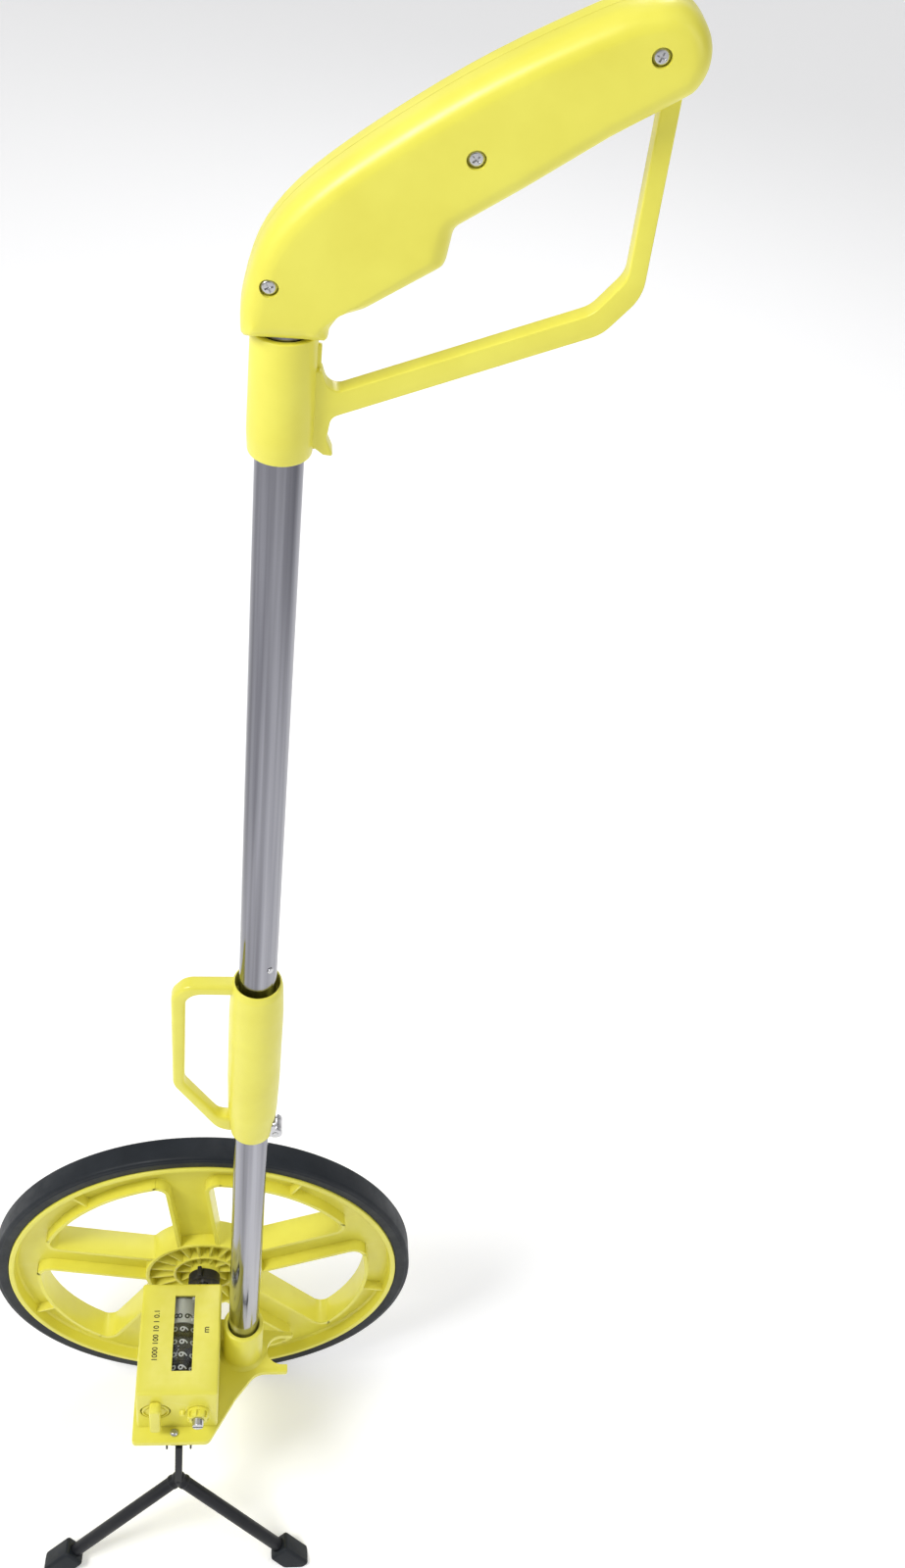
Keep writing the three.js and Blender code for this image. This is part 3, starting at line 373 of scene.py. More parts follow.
white = finish("white_plastic", ((0.80, 0.79, 0.74), (0.72, 0.71, 0.67)), (0.35, 0.5), bump=0.04)
# Its two colours, drawn out along the tube by the stretch, make light and dark lengthwise bands:
# painted reflections.
chrome = finish(
    "chrome_tube", ((0.40, 0.40, 0.44), (0.13, 0.13, 0.15)), (0.08, 0.18), metallic=1.0,
    patch_scale=110,
    grain_scale=420, stretch=(1, 1, 0.015), bump=0.05,
)
steel = finish(
    "bright_steel", ((0.62, 0.62, 0.63), (0.52, 0.52, 0.54)), (0.2, 0.36), metallic=1.0,
    grain_scale=600, bump=0.08,
)
stand_paint = finish(
    "stand_paint", ((0.010, 0.011, 0.014), (0.018, 0.019, 0.022)), (0.35, 0.55), grain_scale=500,
    bump=0.1,
    edge=(0.12, 0.12, 0.13), edge_wear_and_highlight_amount=0.4, Specular_IOR_Level=0.3,
)
window = finish("clear_window", ((0.96, 0.98, 0.98), (0.93, 0.96, 0.96)), (0.03, 0.08), bump=0.01)
window_shader = window.node_tree.nodes["Principled BSDF"]
window_shader.inputs["Transmission Weight"].default_value = 1.0
window_shader.inputs["IOR"].default_value = 1.45
digit_white = finish(
    "digit_white", ((0.86, 0.86, 0.84), (0.78, 0.78, 0.76)), (0.45, 0.6), bump=0.03,
)
digit_black = finish(
    "digit_black", ((0.012, 0.012, 0.014), (0.02, 0.02, 0.022)), (0.4, 0.55), bump=0.03,
)

SLOT_FINISH = {
    "yellow_plastic": yellow,
    "tyre_rubber": rubber,
    "black_plastic": black,
    "white_plastic": white,
    "chrome_tube": chrome,
    "steel": steel,
    "stand_steel": stand_paint,
    "clear_window": window,
}
for part in frame["record"]["subparts"]:
    node = nodes[part["node"]]
    node.data.materials.clear()
    node.data.materials.append(SLOT_FINISH[part["material_slot"]])
print("finishes", len(SLOT_FINISH) + 2)

# %% [markdown]
# ## Tools for making the pieces
# Most parts are one of two kinds: turned on a lathe (tubes, tyre, knobs) or cut from a flat outline
# and given a thickness (spokes, handle loops, plates). A turned part is a profile that
# `bmesh.ops.spin` takes round an axis; a flat part is one face that is extruded, with its rims
# bevelled. Corners of both are rounded by arcs before the shape is made. All sizes here are in
# millimetres, as on a drawing, and they become metres when a piece is finished.

# %% Rounded corners and the two kinds of shape
MM = 0.001
MERGE = 0.0005  # points closer than this, in millimetres, become one


def rounded(points, arc=5):
    """An outline of (x, y, radius) corners, with each corner turned into an arc of short sides."""
    outline = []
    count = len(points)
    for index, (x, y, *radius) in enumerate(points):
        if not radius or radius[0] == 0:
            outline.append((x, y))
            continue
        corner = Vector((x, y))
        before = (Vector(points[index - 1][:2]) - corner).normalized()
        after = (Vector(points[(index + 1) % count][:2]) - corner).normalized()
        half = before.angle(after) / 2
        middle = corner + (before + after).normalized() * radius[0] / math.sin(half)
        start = corner + before * radius[0] / math.tan(half) - middle
        end = corner + after * radius[0] / math.tan(half) - middle
        sweep = start.angle_signed(end)
        for step in range(arc + 1):
            spoke = start.copy()
            spoke.rotate(Matrix.Rotation(-sweep * step / arc, 2))
            outline.append(tuple(middle + spoke))
    return outline


def merged(shape):
    bmesh.ops.remove_doubles(shape, verts=shape.verts, dist=MERGE)
    bmesh.ops.recalc_face_normals(shape, faces=shape.faces)
    return shape


def tidy(shape):
    """A closed shape with its doubles merged and its faces pointing outwards."""
    merged(shape)
    if shape.calc_volume(signed=True) < 0:
        bmesh.ops.reverse_faces(shape, faces=shape.faces)
    return shape


TURN_TO = {
    "X": Matrix.Rotation(math.pi / 2, 4, "Y"), "Y": Matrix.Rotation(-math.pi / 2, 4, "X"),
    "Z": Matrix(),
}


def soften(shape, edges, offset, segments):
    bmesh.ops.bevel(
        shape, geom=edges, offset=offset, segments=segments, profile=0.5, affect="EDGES",
        material=-1, clamp_overlap=True,
    )
    return shape


def spun(profile, axis="Z", centre=(0, 0, 0), steps=96):
    """A closed (radius, along) profile turned about an axis through a point."""
    shape = bmesh.new()
    verts = [shape.verts.new((radius, 0, along)) for radius, along in profile]
    edges = [shape.edges.new((verts[i - 1], verts[i])) for i in range(len(verts))]
    bmesh.ops.spin(
        shape, geom=verts + edges, cent=(0, 0, 0), axis=(0, 0, 1), angle=2 * math.pi,
        steps=steps, use_merge=True,
    )
    bmesh.ops.dissolve_degenerate(shape, edges=shape.edges, dist=MERGE)
    tidy(shape)
    bmesh.ops.transform(
        shape, matrix=Matrix.Translation(centre) @ TURN_TO[axis], verts=shape.verts,
    )
    return shape


def rod(radius, low, high, axis="Z", centre=(0, 0, 0), edge=0.3, steps=48):
    """A plain cylinder with softened ends."""
    profile = rounded([(0, low), (radius, low, edge), (radius, high, edge), (0, high)], 3)
    return spun(profile, axis, centre, steps)


def pipe(outer, inner, low, high, axis="Z", centre=(0, 0, 0), edge=0.4, steps=96):
    """A hollow cylinder with softened edges."""
    corners = [(inner, low, edge), (outer, low, edge), (outer, high, edge), (inner, high, edge)]
    return spun(rounded(corners, 3), axis, centre, steps)


def slab(outline, low, high, edge=0.0, segments=3, axis="Y"):
    """A flat outline with a thickness along Y (drawn in X and Z) or Z (drawn in X and Y)."""
    shape = bmesh.new()
    if axis == "Y":
        verts = [shape.verts.new((x, low, z)) for x, z in outline]
        along = Vector((0, high - low, 0))
    else:
        verts = [shape.verts.new((x, y, low)) for x, y in outline]
        along = Vector((0, 0, high - low))
    face = shape.faces.new(verts)
    grown = bmesh.ops.extrude_face_region(shape, geom=[face])
    top = [item for item in grown["geom"] if isinstance(item, bmesh.types.BMVert)]
    bmesh.ops.translate(shape, vec=along, verts=top)
    tidy(shape)
    if edge > 0:
        rims = [e for e in shape.edges if abs((e.verts[1].co - e.verts[0].co).dot(along)) < 1e-6]
        tidy(soften(shape, rims, edge, segments))
    return shape


def block(x0, x1, y0, y1, z0, z1, edge=0.0, segments=3):
    """A box with rounded edges."""
    shape = bmesh.new()
    bmesh.ops.create_cube(shape, size=1)
    bmesh.ops.scale(shape, vec=(x1 - x0, y1 - y0, z1 - z0), verts=shape.verts)
    bmesh.ops.translate(
        shape, vec=((x0 + x1) / 2, (y0 + y1) / 2, (z0 + z1) / 2), verts=shape.verts,
    )
    if edge > 0:
        soften(shape, list(shape.edges), edge, segments)
    return tidy(shape)


def moved(shape, matrix):
    bmesh.ops.transform(shape, matrix=matrix, verts=shape.verts)
    return shape


def joined(shapes):
    """Several closed shapes in one mesh, each keeping its own skin."""
    whole = bmesh.new()
    for shape in shapes:
        part = bpy.data.meshes.new("part")
        shape.to_mesh(part)
        shape.free()
        whole.from_mesh(part)
        bpy.data.meshes.remove(part)
    return whole


def temporary(shape, name="temporary"):
    data = bpy.data.meshes.new(name)
    shape.to_mesh(data)
    shape.free()
    thing = bpy.data.objects.new(name, data)
    bpy.context.scene.collection.objects.link(thing)
    return thing


def baked(thing, *helpers):
    """The shape of an object after its modifiers; the object and its helpers are removed."""
    shape = bmesh.new()
    shape.from_object(thing, bpy.context.evaluated_depsgraph_get())
    for used in (thing, *helpers):
        data = used.data
        bpy.data.objects.remove(used)
        bpy.data.meshes.remove(data)
    return shape


def cut(base, cutters, operation="DIFFERENCE"):
    """The base with every cutter taken away from it (or joined to it), by Boolean modifiers."""
    body = temporary(base)
    tools = [temporary(cutter, "cutter") for cutter in cutters]
    for tool in tools:
        boolean = body.modifiers.new("boolean", "BOOLEAN")
        boolean.operation = operation
        boolean.solver = "MANIFOLD"
        boolean.object = tool
    result = baked(body, *tools)
    bmesh.ops.dissolve_degenerate(result, edges=result.edges, dist=MERGE)
    return result


# %% Making a finished piece out of a shape
def piece(name, shape, body, slot, replaced=(), angle=35, bevel=0.0, material=None):
    """Names a shape, gives it its finish, sets it on a body and lets it stand for plain nodes."""
    bmesh.ops.scale(shape, vec=(MM, MM, MM), verts=shape.verts)
    data = bpy.data.meshes.new(name)
    shape.to_mesh(data)
    shape.free()
    data.shade_smooth()
    data.set_sharp_from_angle(angle=math.radians(angle))
    thing = bpy.data.objects.new(name, data)
    bpy.context.scene.collection.objects.link(thing)
    data.materials.append(material or SLOT_FINISH[slot])
    if bevel > 0:
        modifier = thing.modifiers.new("soft_edges", "BEVEL")
        modifier.width = bevel * MM
        modifier.segments = 2
        modifier.limit_method = "ANGLE"
        modifier.angle_limit = math.radians(40)
        modifier.harden_normals = True
    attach(thing, body)
    if replaced:
        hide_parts(*replaced)
    print(name, len(data.polygons), "faces")
    return thing


def size_of(node):
    """A plain node's lowest and highest corners, in millimetres."""
    low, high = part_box(node)
    return Vector(low) / MM, Vector(high) / MM


def middle_of(node):
    low, high = size_of(node)
    return (low + high) / 2

# %% [markdown]
# ## Tyre
# The tyre is one band of smooth rubber, pressed over the rim. Its profile is turned about the
# axle: a flat tread with soft shoulders, a shallow moulding line beside each shoulder, and side
# faces that dish in a little towards the rim.

# %% The tyre
tyre_low, tyre_high = size_of("tyre")
AXLE_Z = (tyre_low.z + tyre_high.z) / 2
AXLE = (0, 0, AXLE_Z)
TYRE_R = AXLE_Z
tyre_half = (tyre_high.y - tyre_low.y) / 2
rim_low, rim_high = size_of("wheel_rim")
RIM_R = (rim_high.z - rim_low.z) / 2
RIM_HALF = (rim_high.y - rim_low.y) / 2
BEAD_R = RIM_R + 0.3
tyre_profile = rounded([
    (BEAD_R, -tyre_half + 0.8, 0.5),
    (BEAD_R + 3.0, -tyre_half + 0.5, 1.0),
    (TYRE_R - 3.4, -tyre_half, 1.2),
    (TYRE_R - 2.9, -tyre_half + 0.5, 0.3),
    (TYRE_R, -tyre_half + 1.0, 2.6),
    (TYRE_R, tyre_half - 1.0, 2.6),
    (TYRE_R - 2.9, tyre_half - 0.5, 0.3),
    (TYRE_R - 3.4, tyre_half, 1.2),
    (BEAD_R + 3.0, tyre_half - 0.5, 1.0),
    (BEAD_R, tyre_half - 0.8, 0.5),
], 4)
piece("tyre_band", spun(tyre_profile, "Y", AXLE, 192), "wheel", "tyre_rubber", ["tyre"], angle=50)

# %% [markdown]
# ## Wheel
# The real wheel is one yellow moulding. Seen from the counter side it is a set of channels: a rim
# with a deep groove between an outer lip and an inner wall, five spokes that are open troughs,
# and a hub drum filled with thin radial ribs. The walls of a spoke, of the rim and of the hub are
# one wall that runs round each of the five openings, so the opening's outline is drawn once and
# used twice: as a wall with rounded corners, and as the hole in the thin web between the walls.

# %% The outline of one opening, and the walls round the five of them
SPOKES = 5
SPOKE_HALF = 15.75
SPOKE_WALL = 2.8
OPENING_OUTER_R = 124.3
OPENING_INNER_R = 45.0
SPOKE_TURN = math.radians(6.4)
WEB_HALF = 1.5


def opening_outline(grow=0.0):
    """One opening between two spokes, in the wheel's plane, about the direction of +X."""
    half_turn = math.pi / SPOKES
    outer, inner, clear = OPENING_OUTER_R + grow, OPENING_INNER_R - grow, SPOKE_HALF - grow
    outer_edge = half_turn - math.asin(clear / outer)
    inner_edge = half_turn - math.asin(clear / inner)
    points = []
    steps = 14
    for step in range(steps + 1):
        angle = -outer_edge + 2 * outer_edge * step / steps
        radius = 7.5 + grow if step in (0, steps) else 0
        points.append((outer * math.cos(angle), outer * math.sin(angle), radius))
    inner_steps = 4
    for step in range(inner_steps + 1):
        angle = inner_edge - 2 * inner_edge * step / inner_steps
        radius = 2.5 + grow if step in (0, inner_steps) else 0
        points.append((inner * math.cos(angle), inner * math.sin(angle), radius))
    return rounded(points, 6)


def spoke_angle(number):
    return math.pi / 2 + SPOKE_TURN + 2 * math.pi * number / SPOKES


def wheel_turn(angle):
    """Turns a shape drawn along +X to an angle in the wheel's plane, and sets it on the axle."""
    return Matrix.Translation(AXLE) @ Matrix.Rotation(-angle, 4, "Y")


def opening_wall():
    """The wall round one opening: the outer outline and the hole in it, bridged on both faces."""
    shape = bmesh.new()
    half = RIM_HALF - 0.6
    loops = []
    for outline in (opening_outline(SPOKE_WALL), opening_outline()):
        for y in (-half, half):
            verts = [shape.verts.new((x, y, z)) for x, z in outline]
            loops.append([shape.edges.new((verts[i - 1], verts[i])) for i in range(len(verts))])
    outer_front, outer_back, inner_front, inner_back = loops
    rims = outer_front + outer_back + inner_front + inner_back
    for pair in (
        (outer_front, outer_back), (outer_back, inner_back), (inner_back, inner_front),
        (inner_front, outer_front),
    ):
        bmesh.ops.bridge_loops(shape, edges=pair[0] + pair[1])
    tidy(shape)
    return tidy(soften(shape, [e for e in rims if e.is_valid], 0.7, 3))


wheel_parts = []
for number in range(SPOKES):
    wheel_parts.append(moved(opening_wall(), wheel_turn(spoke_angle(number) + math.pi / SPOKES)))
print("walls", len(wheel_parts))

# %% The web, the rim's lips, the hub drum and its ribs
web = pipe(RIM_R - 1, 9.0, -WEB_HALF, WEB_HALF, "Y", AXLE, 0.2, 160)
holes = [
    moved(slab(opening_outline(1.0), -8, 8), wheel_turn(spoke_angle(number) + math.pi / SPOKES))
    for number in range(SPOKES)
]
wheel_parts.append(cut(web, holes))
LIP = 4.0
rim_profile = rounded([
    (RIM_R - LIP, -RIM_HALF, 0.9),
    (RIM_R, -RIM_HALF, 0.9),
    (RIM_R, RIM_HALF, 0.9),
    (RIM_R - LIP, RIM_HALF, 0.9),
    (RIM_R - LIP - 0.8, WEB_HALF + 1.5, 1.2),
    (RIM_R - LIP - 2.6, WEB_HALF - 0.2, 0),
    (RIM_R - LIP - 2.6, -WEB_HALF + 0.2, 0),
    (RIM_R - LIP - 0.8, -WEB_HALF - 1.5, 1.2),
], 4)
wheel_parts.append(spun(rim_profile, "Y", AXLE, 192))
HUB_R, HUB_INNER_R, BOSS_R = 45.0, 24.0, 11.0
for radius, wall, half in (
    (HUB_R, 3.0, RIM_HALF), (HUB_INNER_R, 2.2, RIM_HALF - 1.4), (BOSS_R, 6.6, RIM_HALF),
):
    wheel_parts.append(pipe(radius, radius - wall, -half, half, "Y", AXLE, 0.6, 128))
HUB_RIBS, BOSS_RIBS = 20, 10
RIB = 0.7
for number in range(HUB_RIBS):
    rib = block(HUB_INNER_R - 1, HUB_R - 2, -RIM_HALF + 2.2, RIM_HALF - 2.2, -RIB, RIB, 0.3, 2)
    wheel_parts.append(moved(rib, wheel_turn(2 * math.pi * (number + 0.5) / HUB_RIBS)))
for number in range(BOSS_RIBS):
    rib = block(BOSS_R - 1, HUB_INNER_R - 1, -RIM_HALF + 3.4, RIM_HALF - 3.4, -RIB, RIB, 0.3, 2)
    wheel_parts.append(moved(rib, wheel_turn(2 * math.pi * number / BOSS_RIBS)))
for number in range(SPOKES):
    rib = block(OPENING_OUTER_R + 1, RIM_R - 2, -RIM_HALF + 2.6, RIM_HALF - 2.6, -0.9, 0.9, 0.3, 2)
    wheel_parts.append(moved(rib, wheel_turn(spoke_angle(number) + math.pi / SPOKES)))
piece("wheel_moulding", joined(wheel_parts), "wheel", "yellow_plastic", ["wheel_rim"], angle=38)

# %% [markdown]
# ## Axle and drive
# A black dog on the hub's front drives the counter's axle. The axle ends in a castellated yellow
# knob on the counter's front, with a screwdriver slot in its own bright end.

# %% The drive dog, the axle, its knob, washer and nut
SNUG_BORE_R, FREE_BORE_R = 4.3, 4.4  # close to the axle, and clear of it
dog_low, dog_high = size_of("drive_dog")
DOG_R = (dog_high.x - dog_low.x) / 2
dog_parts = [pipe(DOG_R, FREE_BORE_R, dog_low.y, dog_high.y, "Y", AXLE, 0.5)]
DOG_TAB_TURN = math.radians(14)
DOG_TAB_HALF = 1.5
tab = block(
    -DOG_TAB_HALF, DOG_TAB_HALF, dog_low.y, dog_high.y, DOG_R - 2, dog_high.z - AXLE_Z, 0.5,
)
dog_parts.append(moved(tab, Matrix.Translation(AXLE) @ Matrix.Rotation(-DOG_TAB_TURN, 4, "Y")))
piece("dog_disc", joined(dog_parts), "wheel", "black_plastic", ["drive_dog"])

shaft_low, shaft_high = size_of("axle_shaft")
AXLE_R = (shaft_high.x - shaft_low.x) / 2
shaft_slot = block(-6, 6, shaft_low.y - 1, shaft_low.y + 1.6, AXLE_Z - 0.7, AXLE_Z + 0.7)
shaft = cut(rod(AXLE_R, shaft_low.y, shaft_high.y, "Y", AXLE, 0.5), [shaft_slot])
piece("axle_rod", shaft, "wheel", "steel", ["axle_shaft"])

knob_low, knob_high = size_of("axle_knob")
KNOB_R = (knob_high.x - knob_low.x) / 2
KNOB_TEETH = 8
NOTCH_HALF, NOTCH_DEPTH = 1.3, 1.7
knob = spun(rounded([
    (SNUG_BORE_R, knob_low.y, 0.3),
    (KNOB_R - 1.2, knob_low.y, 0.6),
    (KNOB_R, knob_low.y + 1.2, 0.6),
    (KNOB_R, knob_high.y, 0.3),
    (SNUG_BORE_R, knob_high.y, 0.3),
], 3), "Y", AXLE, 96)
notches = []
for number in range(KNOB_TEETH):
    notch = block(
        KNOB_R - NOTCH_DEPTH, KNOB_R + 2, knob_low.y - 1, knob_low.y + 4.6,
        -NOTCH_HALF, NOTCH_HALF, 0.4, 2,
    )
    notches.append(moved(notch, wheel_turn(2 * math.pi * number / KNOB_TEETH)))
piece("castellated_knob", cut(knob, notches), "wheel", "yellow_plastic", ["axle_knob"], angle=32)

washer_low, washer_high = size_of("axle_washer")
washer = pipe(
    (washer_high.x - washer_low.x) / 2, SNUG_BORE_R, washer_low.y, washer_high.y,
    "Y", AXLE, 0.2, 64,
)
piece("flat_washer", washer, "wheel", "steel", ["axle_washer"])
nut_low, nut_high = size_of("axle_nut")
NUT_R = (nut_high.z - nut_low.z) / 2
hexagon = [
    (NUT_R * math.sin(k * math.pi / 3), NUT_R * math.cos(k * math.pi / 3)) for k in range(6)
]
nut = cut(moved(slab(hexagon, nut_low.y, nut_high.y, 0.5, 3), Matrix.Translation(AXLE)),
          [rod(SNUG_BORE_R, nut_low.y - 1, nut_high.y + 1, "Y", AXLE, 0)])
piece("hexagon_nut", nut, "wheel", "steel", ["axle_nut"])

# %% [markdown]
# ## Bracket
# One yellow moulding carries everything: a plate under the counter, the mast's round socket, and
# a slim fork at the side that holds the upper tube when the mast is folded.

# %% The bracket's plate, socket and fork
MAST_X, MAST_Y = middle_of("lower_tube").xy
MAST = (MAST_X, MAST_Y, 0)
bracket_low, bracket_high = size_of("base_bracket")
case_low, case_high = size_of("counter_case")
TUBE_R = 11.0
PLATE_TOP = case_low.z - 0.3
PLATE_LOW = bracket_low.z
SOCKET_R = 15.0
CLIP_X = MAST_X + 30.5  # the axis of the upper tube when it is folded
CLIP_R = TUBE_R + 0.7
plate_outline = rounded([
    (bracket_low.x, bracket_low.y, 3),
    (case_high.x - 6, bracket_low.y, 6),
    (case_high.x + 13, bracket_low.y + 34, 9),
    (MAST_X + 11, MAST_Y - 18, 14),
    (CLIP_X + 4, MAST_Y - 18, 1.5),
    (CLIP_X + 4, MAST_Y - CLIP_R, 0.8),
    *[(CLIP_X + CLIP_R * math.cos(a), MAST_Y + CLIP_R * math.sin(a)) for a in
      [math.radians(-90 - 9 * step) for step in range(21)]],
    (CLIP_X + 8, MAST_Y + CLIP_R, 0.6),
    (CLIP_X + 8, MAST_Y + 14.5, 1.2),
    (MAST_X + 14, MAST_Y + 17, 5),
    (MAST_X + 4, case_high.y - 2, 6),
    (bracket_low.x, case_high.y - 2, 3),
], 6)
bracket_plate = slab(plate_outline, PLATE_LOW, PLATE_TOP, 0.7, 3, "Z")
socket_profile = rounded([
    (0, PLATE_LOW + 1),
    (SOCKET_R + 3.0, PLATE_LOW + 1),
    (SOCKET_R + 3.0, PLATE_TOP - 0.1),
    (SOCKET_R, PLATE_TOP + 2.4, 2.6),
    (SOCKET_R, bracket_high.z - 0.2, 1.4),
    (TUBE_R + 0.9, bracket_high.z, 0.6),
    (TUBE_R + 0.35, bracket_high.z - 1.6),
    (0, bracket_high.z - 1.6),
], 4)
socket = spun(socket_profile, "Z", MAST, 96)
screw_at = middle_of("socket_screw")
SCREW_HOLE_R = 1.9
bracket_cuts = [
    rod(TUBE_R + 0.3, PLATE_TOP, bracket_high.z + 4, "Z", MAST, 0, 96),
    rod(2.6, MAST_Y + 9, MAST_Y + 20, "Y", (MAST_X, 0, screw_at.z), 0, 24),
]
for node in ("case_screw_1", "case_screw_2", "case_screw_3", "ledge_screw"):
    at = (*middle_of(node).xy, 0)
    bracket_cuts.append(rod(SCREW_HOLE_R, PLATE_LOW - 1, PLATE_TOP + 1, "Z", at, 0, 24))
ledge = middle_of("ledge_screw")
bracket = cut(cut(bracket_plate, [socket], "UNION"), bracket_cuts)
piece("bracket_moulding", bracket, "frame", "yellow_plastic", ["base_bracket"], angle=32)

# %% The bracket's screws
def cross_recess(shape, radius, depth, top):
    """A cross cut into the top of a screw head that is made standing on the Z axis."""
    arms = [
        block(-radius, radius, -radius * 0.22, radius * 0.22, top - depth, top + 1, 0.08, 1),
        block(-radius * 0.22, radius * 0.22, -radius, radius, top - depth, top + 1, 0.08, 1),
    ]
    return cut(shape, arms)


def pan_head(head_r, height, shank_r, length):
    """A pan-head screw standing on the Z axis, its head's seat at the origin."""
    profile = rounded([
        (0, -length), (shank_r, -length, 0.3), (shank_r, 0), (head_r, 0, 0.2),
        (head_r, height * 0.55, 0.6), (head_r * 0.55, height, 1.2), (0, height),
    ], 3)
    return cross_recess(spun(profile, "Z", (0, 0, 0), 32), head_r * 0.55, height * 0.5, height)


LEDGE_HEAD = 2.4
ledge_seat = size_of("ledge_screw")[1].z - LEDGE_HEAD
screw = moved(
    pan_head(3.0, LEDGE_HEAD, 1.5, 7.0), Matrix.Translation((ledge.x, ledge.y, ledge_seat)),
)
piece("ledge_fixing", screw, "frame", "steel", ["ledge_screw"])
for index in (1, 2, 3):
    low, high = size_of(f"case_screw_{index}")
    middle = (low + high) / 2
    flip = Matrix.Translation((middle.x, middle.y, low.z + 2)) @ Matrix.Rotation(math.pi, 4, "X")
    piece(
        f"case_fixing_{index}", moved(pan_head(3.0, 2.0, 1.5, 13.0), flip), "frame", "steel",
        [f"case_screw_{index}"],
    )
grub = rod(2.2, MAST_Y + 11.4, MAST_Y + SOCKET_R + 0.8, "Y", (MAST_X, 0, screw_at.z), 0.3, 32)
piece("grub_fixing", grub, "frame", "steel", ["socket_screw"])

# %% [markdown]
# ## Counter case
# A plain yellow box with soft edges. Its top has a long window over the drums, with a printed
# legend on each side. Its front has one round opening for the reset wing and one for the axle.

# %% The case and its window
WINDOW_X, WINDOW_HALF = -13.0, 7.25
WINDOW_Y0, WINDOW_Y1 = -102.0, -42.0
WALL = 2.2
RESET_X, RESET_Z = -31.0, 159.0
RESET_OPENING_R = 11.0
AXLE_OPENING_R = 6.8
CASE_LONG = 88
FRONT_Y = case_high.y - CASE_LONG
SCREW_BOSS_TOP = 144.0
case_body = block(
    case_low.x, case_high.x, FRONT_Y, case_high.y, case_low.z - 4, case_high.z, 2.2, 5,
)
case_cuts = [
    block(
        case_low.x + WALL, case_high.x - WALL, FRONT_Y + WALL, case_high.y - WALL, case_low.z - 6,
        case_high.z - WALL,
    ),
    block(
        case_low.x - 5, case_high.x + 5, FRONT_Y - 5, case_high.y + 5, case_low.z - 8, case_low.z,
    ),
    block(
        WINDOW_X - WINDOW_HALF, WINDOW_X + WINDOW_HALF, WINDOW_Y0, WINDOW_Y1, case_high.z - 4,
        case_high.z + 1,
    ),
    rod(AXLE_OPENING_R, FRONT_Y - 1, FRONT_Y + 4, "Y", AXLE, 0, 64),
    rod(AXLE_OPENING_R, case_high.y - 4, case_high.y + 1, "Y", AXLE, 0, 64),
    rod(RESET_OPENING_R, FRONT_Y - 1, FRONT_Y + 4, "Y", (RESET_X, 0, RESET_Z), 0, 96),
]
case_shell = cut(case_body, case_cuts)
knob_seat = pipe(KNOB_R + 1.8, 6.9, FRONT_Y - 0.2, FRONT_Y + 1.0, "Y", AXLE, 0.2, 96)
NUB_X, NUB_Z = -11.5, 158
nub = moved(
    spun(rounded([(0, 0), (2.5, 0), (1.7, 3.2, 0.8), (0, 3.2)], 3), "Z", (0, 0, 0), 32),
    Matrix.Translation((NUB_X, FRONT_Y + 0.2, NUB_Z)) @ Matrix.Rotation(math.pi / 2, 4, "X"),
)
case_parts = [case_shell, knob_seat, nub]
for index in (1, 2, 3):
    place = middle_of(f"case_screw_{index}")
    case_parts.append(
        pipe(3.7, 1.8, case_low.z, SCREW_BOSS_TOP, "Z", (place.x, place.y, 0), 0.2, 32)
    )
piece(
    "case_moulding", joined(case_parts), "frame", "yellow_plastic", ["counter_case"], angle=32,
    bevel=0.25,
)

lens_low, lens_high = size_of("window_lens")
lens = block(lens_low.x, lens_high.x, lens_low.y, lens_high.y, lens_low.z, lens_high.z, 0.2, 2)
piece("window_pane", lens, "frame", "clear_window", ["window_lens"])

# %% The printed legends
def letters(text, size, depth):
    """Flat letters in the X-Y plane, centred on the origin, with a little thickness."""
    curve = bpy.data.curves.new("letters", "FONT")
    curve.body = text
    curve.size = size
    curve.extrude = depth / 2
    curve.align_x = "CENTER"
    curve.align_y = "CENTER"
    curve.resolution_u = 4
    curve.offset = 0.012 * size
    thing = bpy.data.objects.new("letters", curve)
    bpy.context.scene.collection.objects.link(thing)
    bpy.context.view_layer.update()
    data = bpy.data.meshes.new_from_object(
        thing.evaluated_get(bpy.context.evaluated_depsgraph_get())
    )
    shape = bmesh.new()
    shape.from_mesh(data)
    bpy.data.objects.remove(thing)
    bpy.data.curves.remove(curve)
    bpy.data.meshes.remove(data)
    return shape


def printed(text, size, x, y):
    """Letters that read along +Y, with their tops towards -X, on the case's top."""
    place = Matrix.Translation((x, y, case_high.z + 0.02)) @ Matrix.Rotation(math.pi / 2, 4, "Z")
    return moved(letters(text, size, 0.1), place)


legend = [printed("1000 100 10 1 0.1", 5.6, -33.0, -74.0), printed("m", 6.6, 3.6, -70.0)]
piece("case_legend", joined(legend), "frame", "black_plastic", material=digit_black)

# %% [markdown]
# ## Counter works
# Five number drums stand side by side under the window: a wide white one for tenths of a metre and
# four black ones. Their digits are thin raised shapes laid round each drum, read from the front.
# Below and behind them are the gears, the carry pinions and the reset shaft.

# %% The number drums
DRUM_R = 12.4
DRUM_X, DRUM_Z = -14.5, middle_of("drum_units").z
DIGIT_SIZE = 8.8
DIGIT_STEP = math.radians(36)
DIGIT_PROUD = 0.12


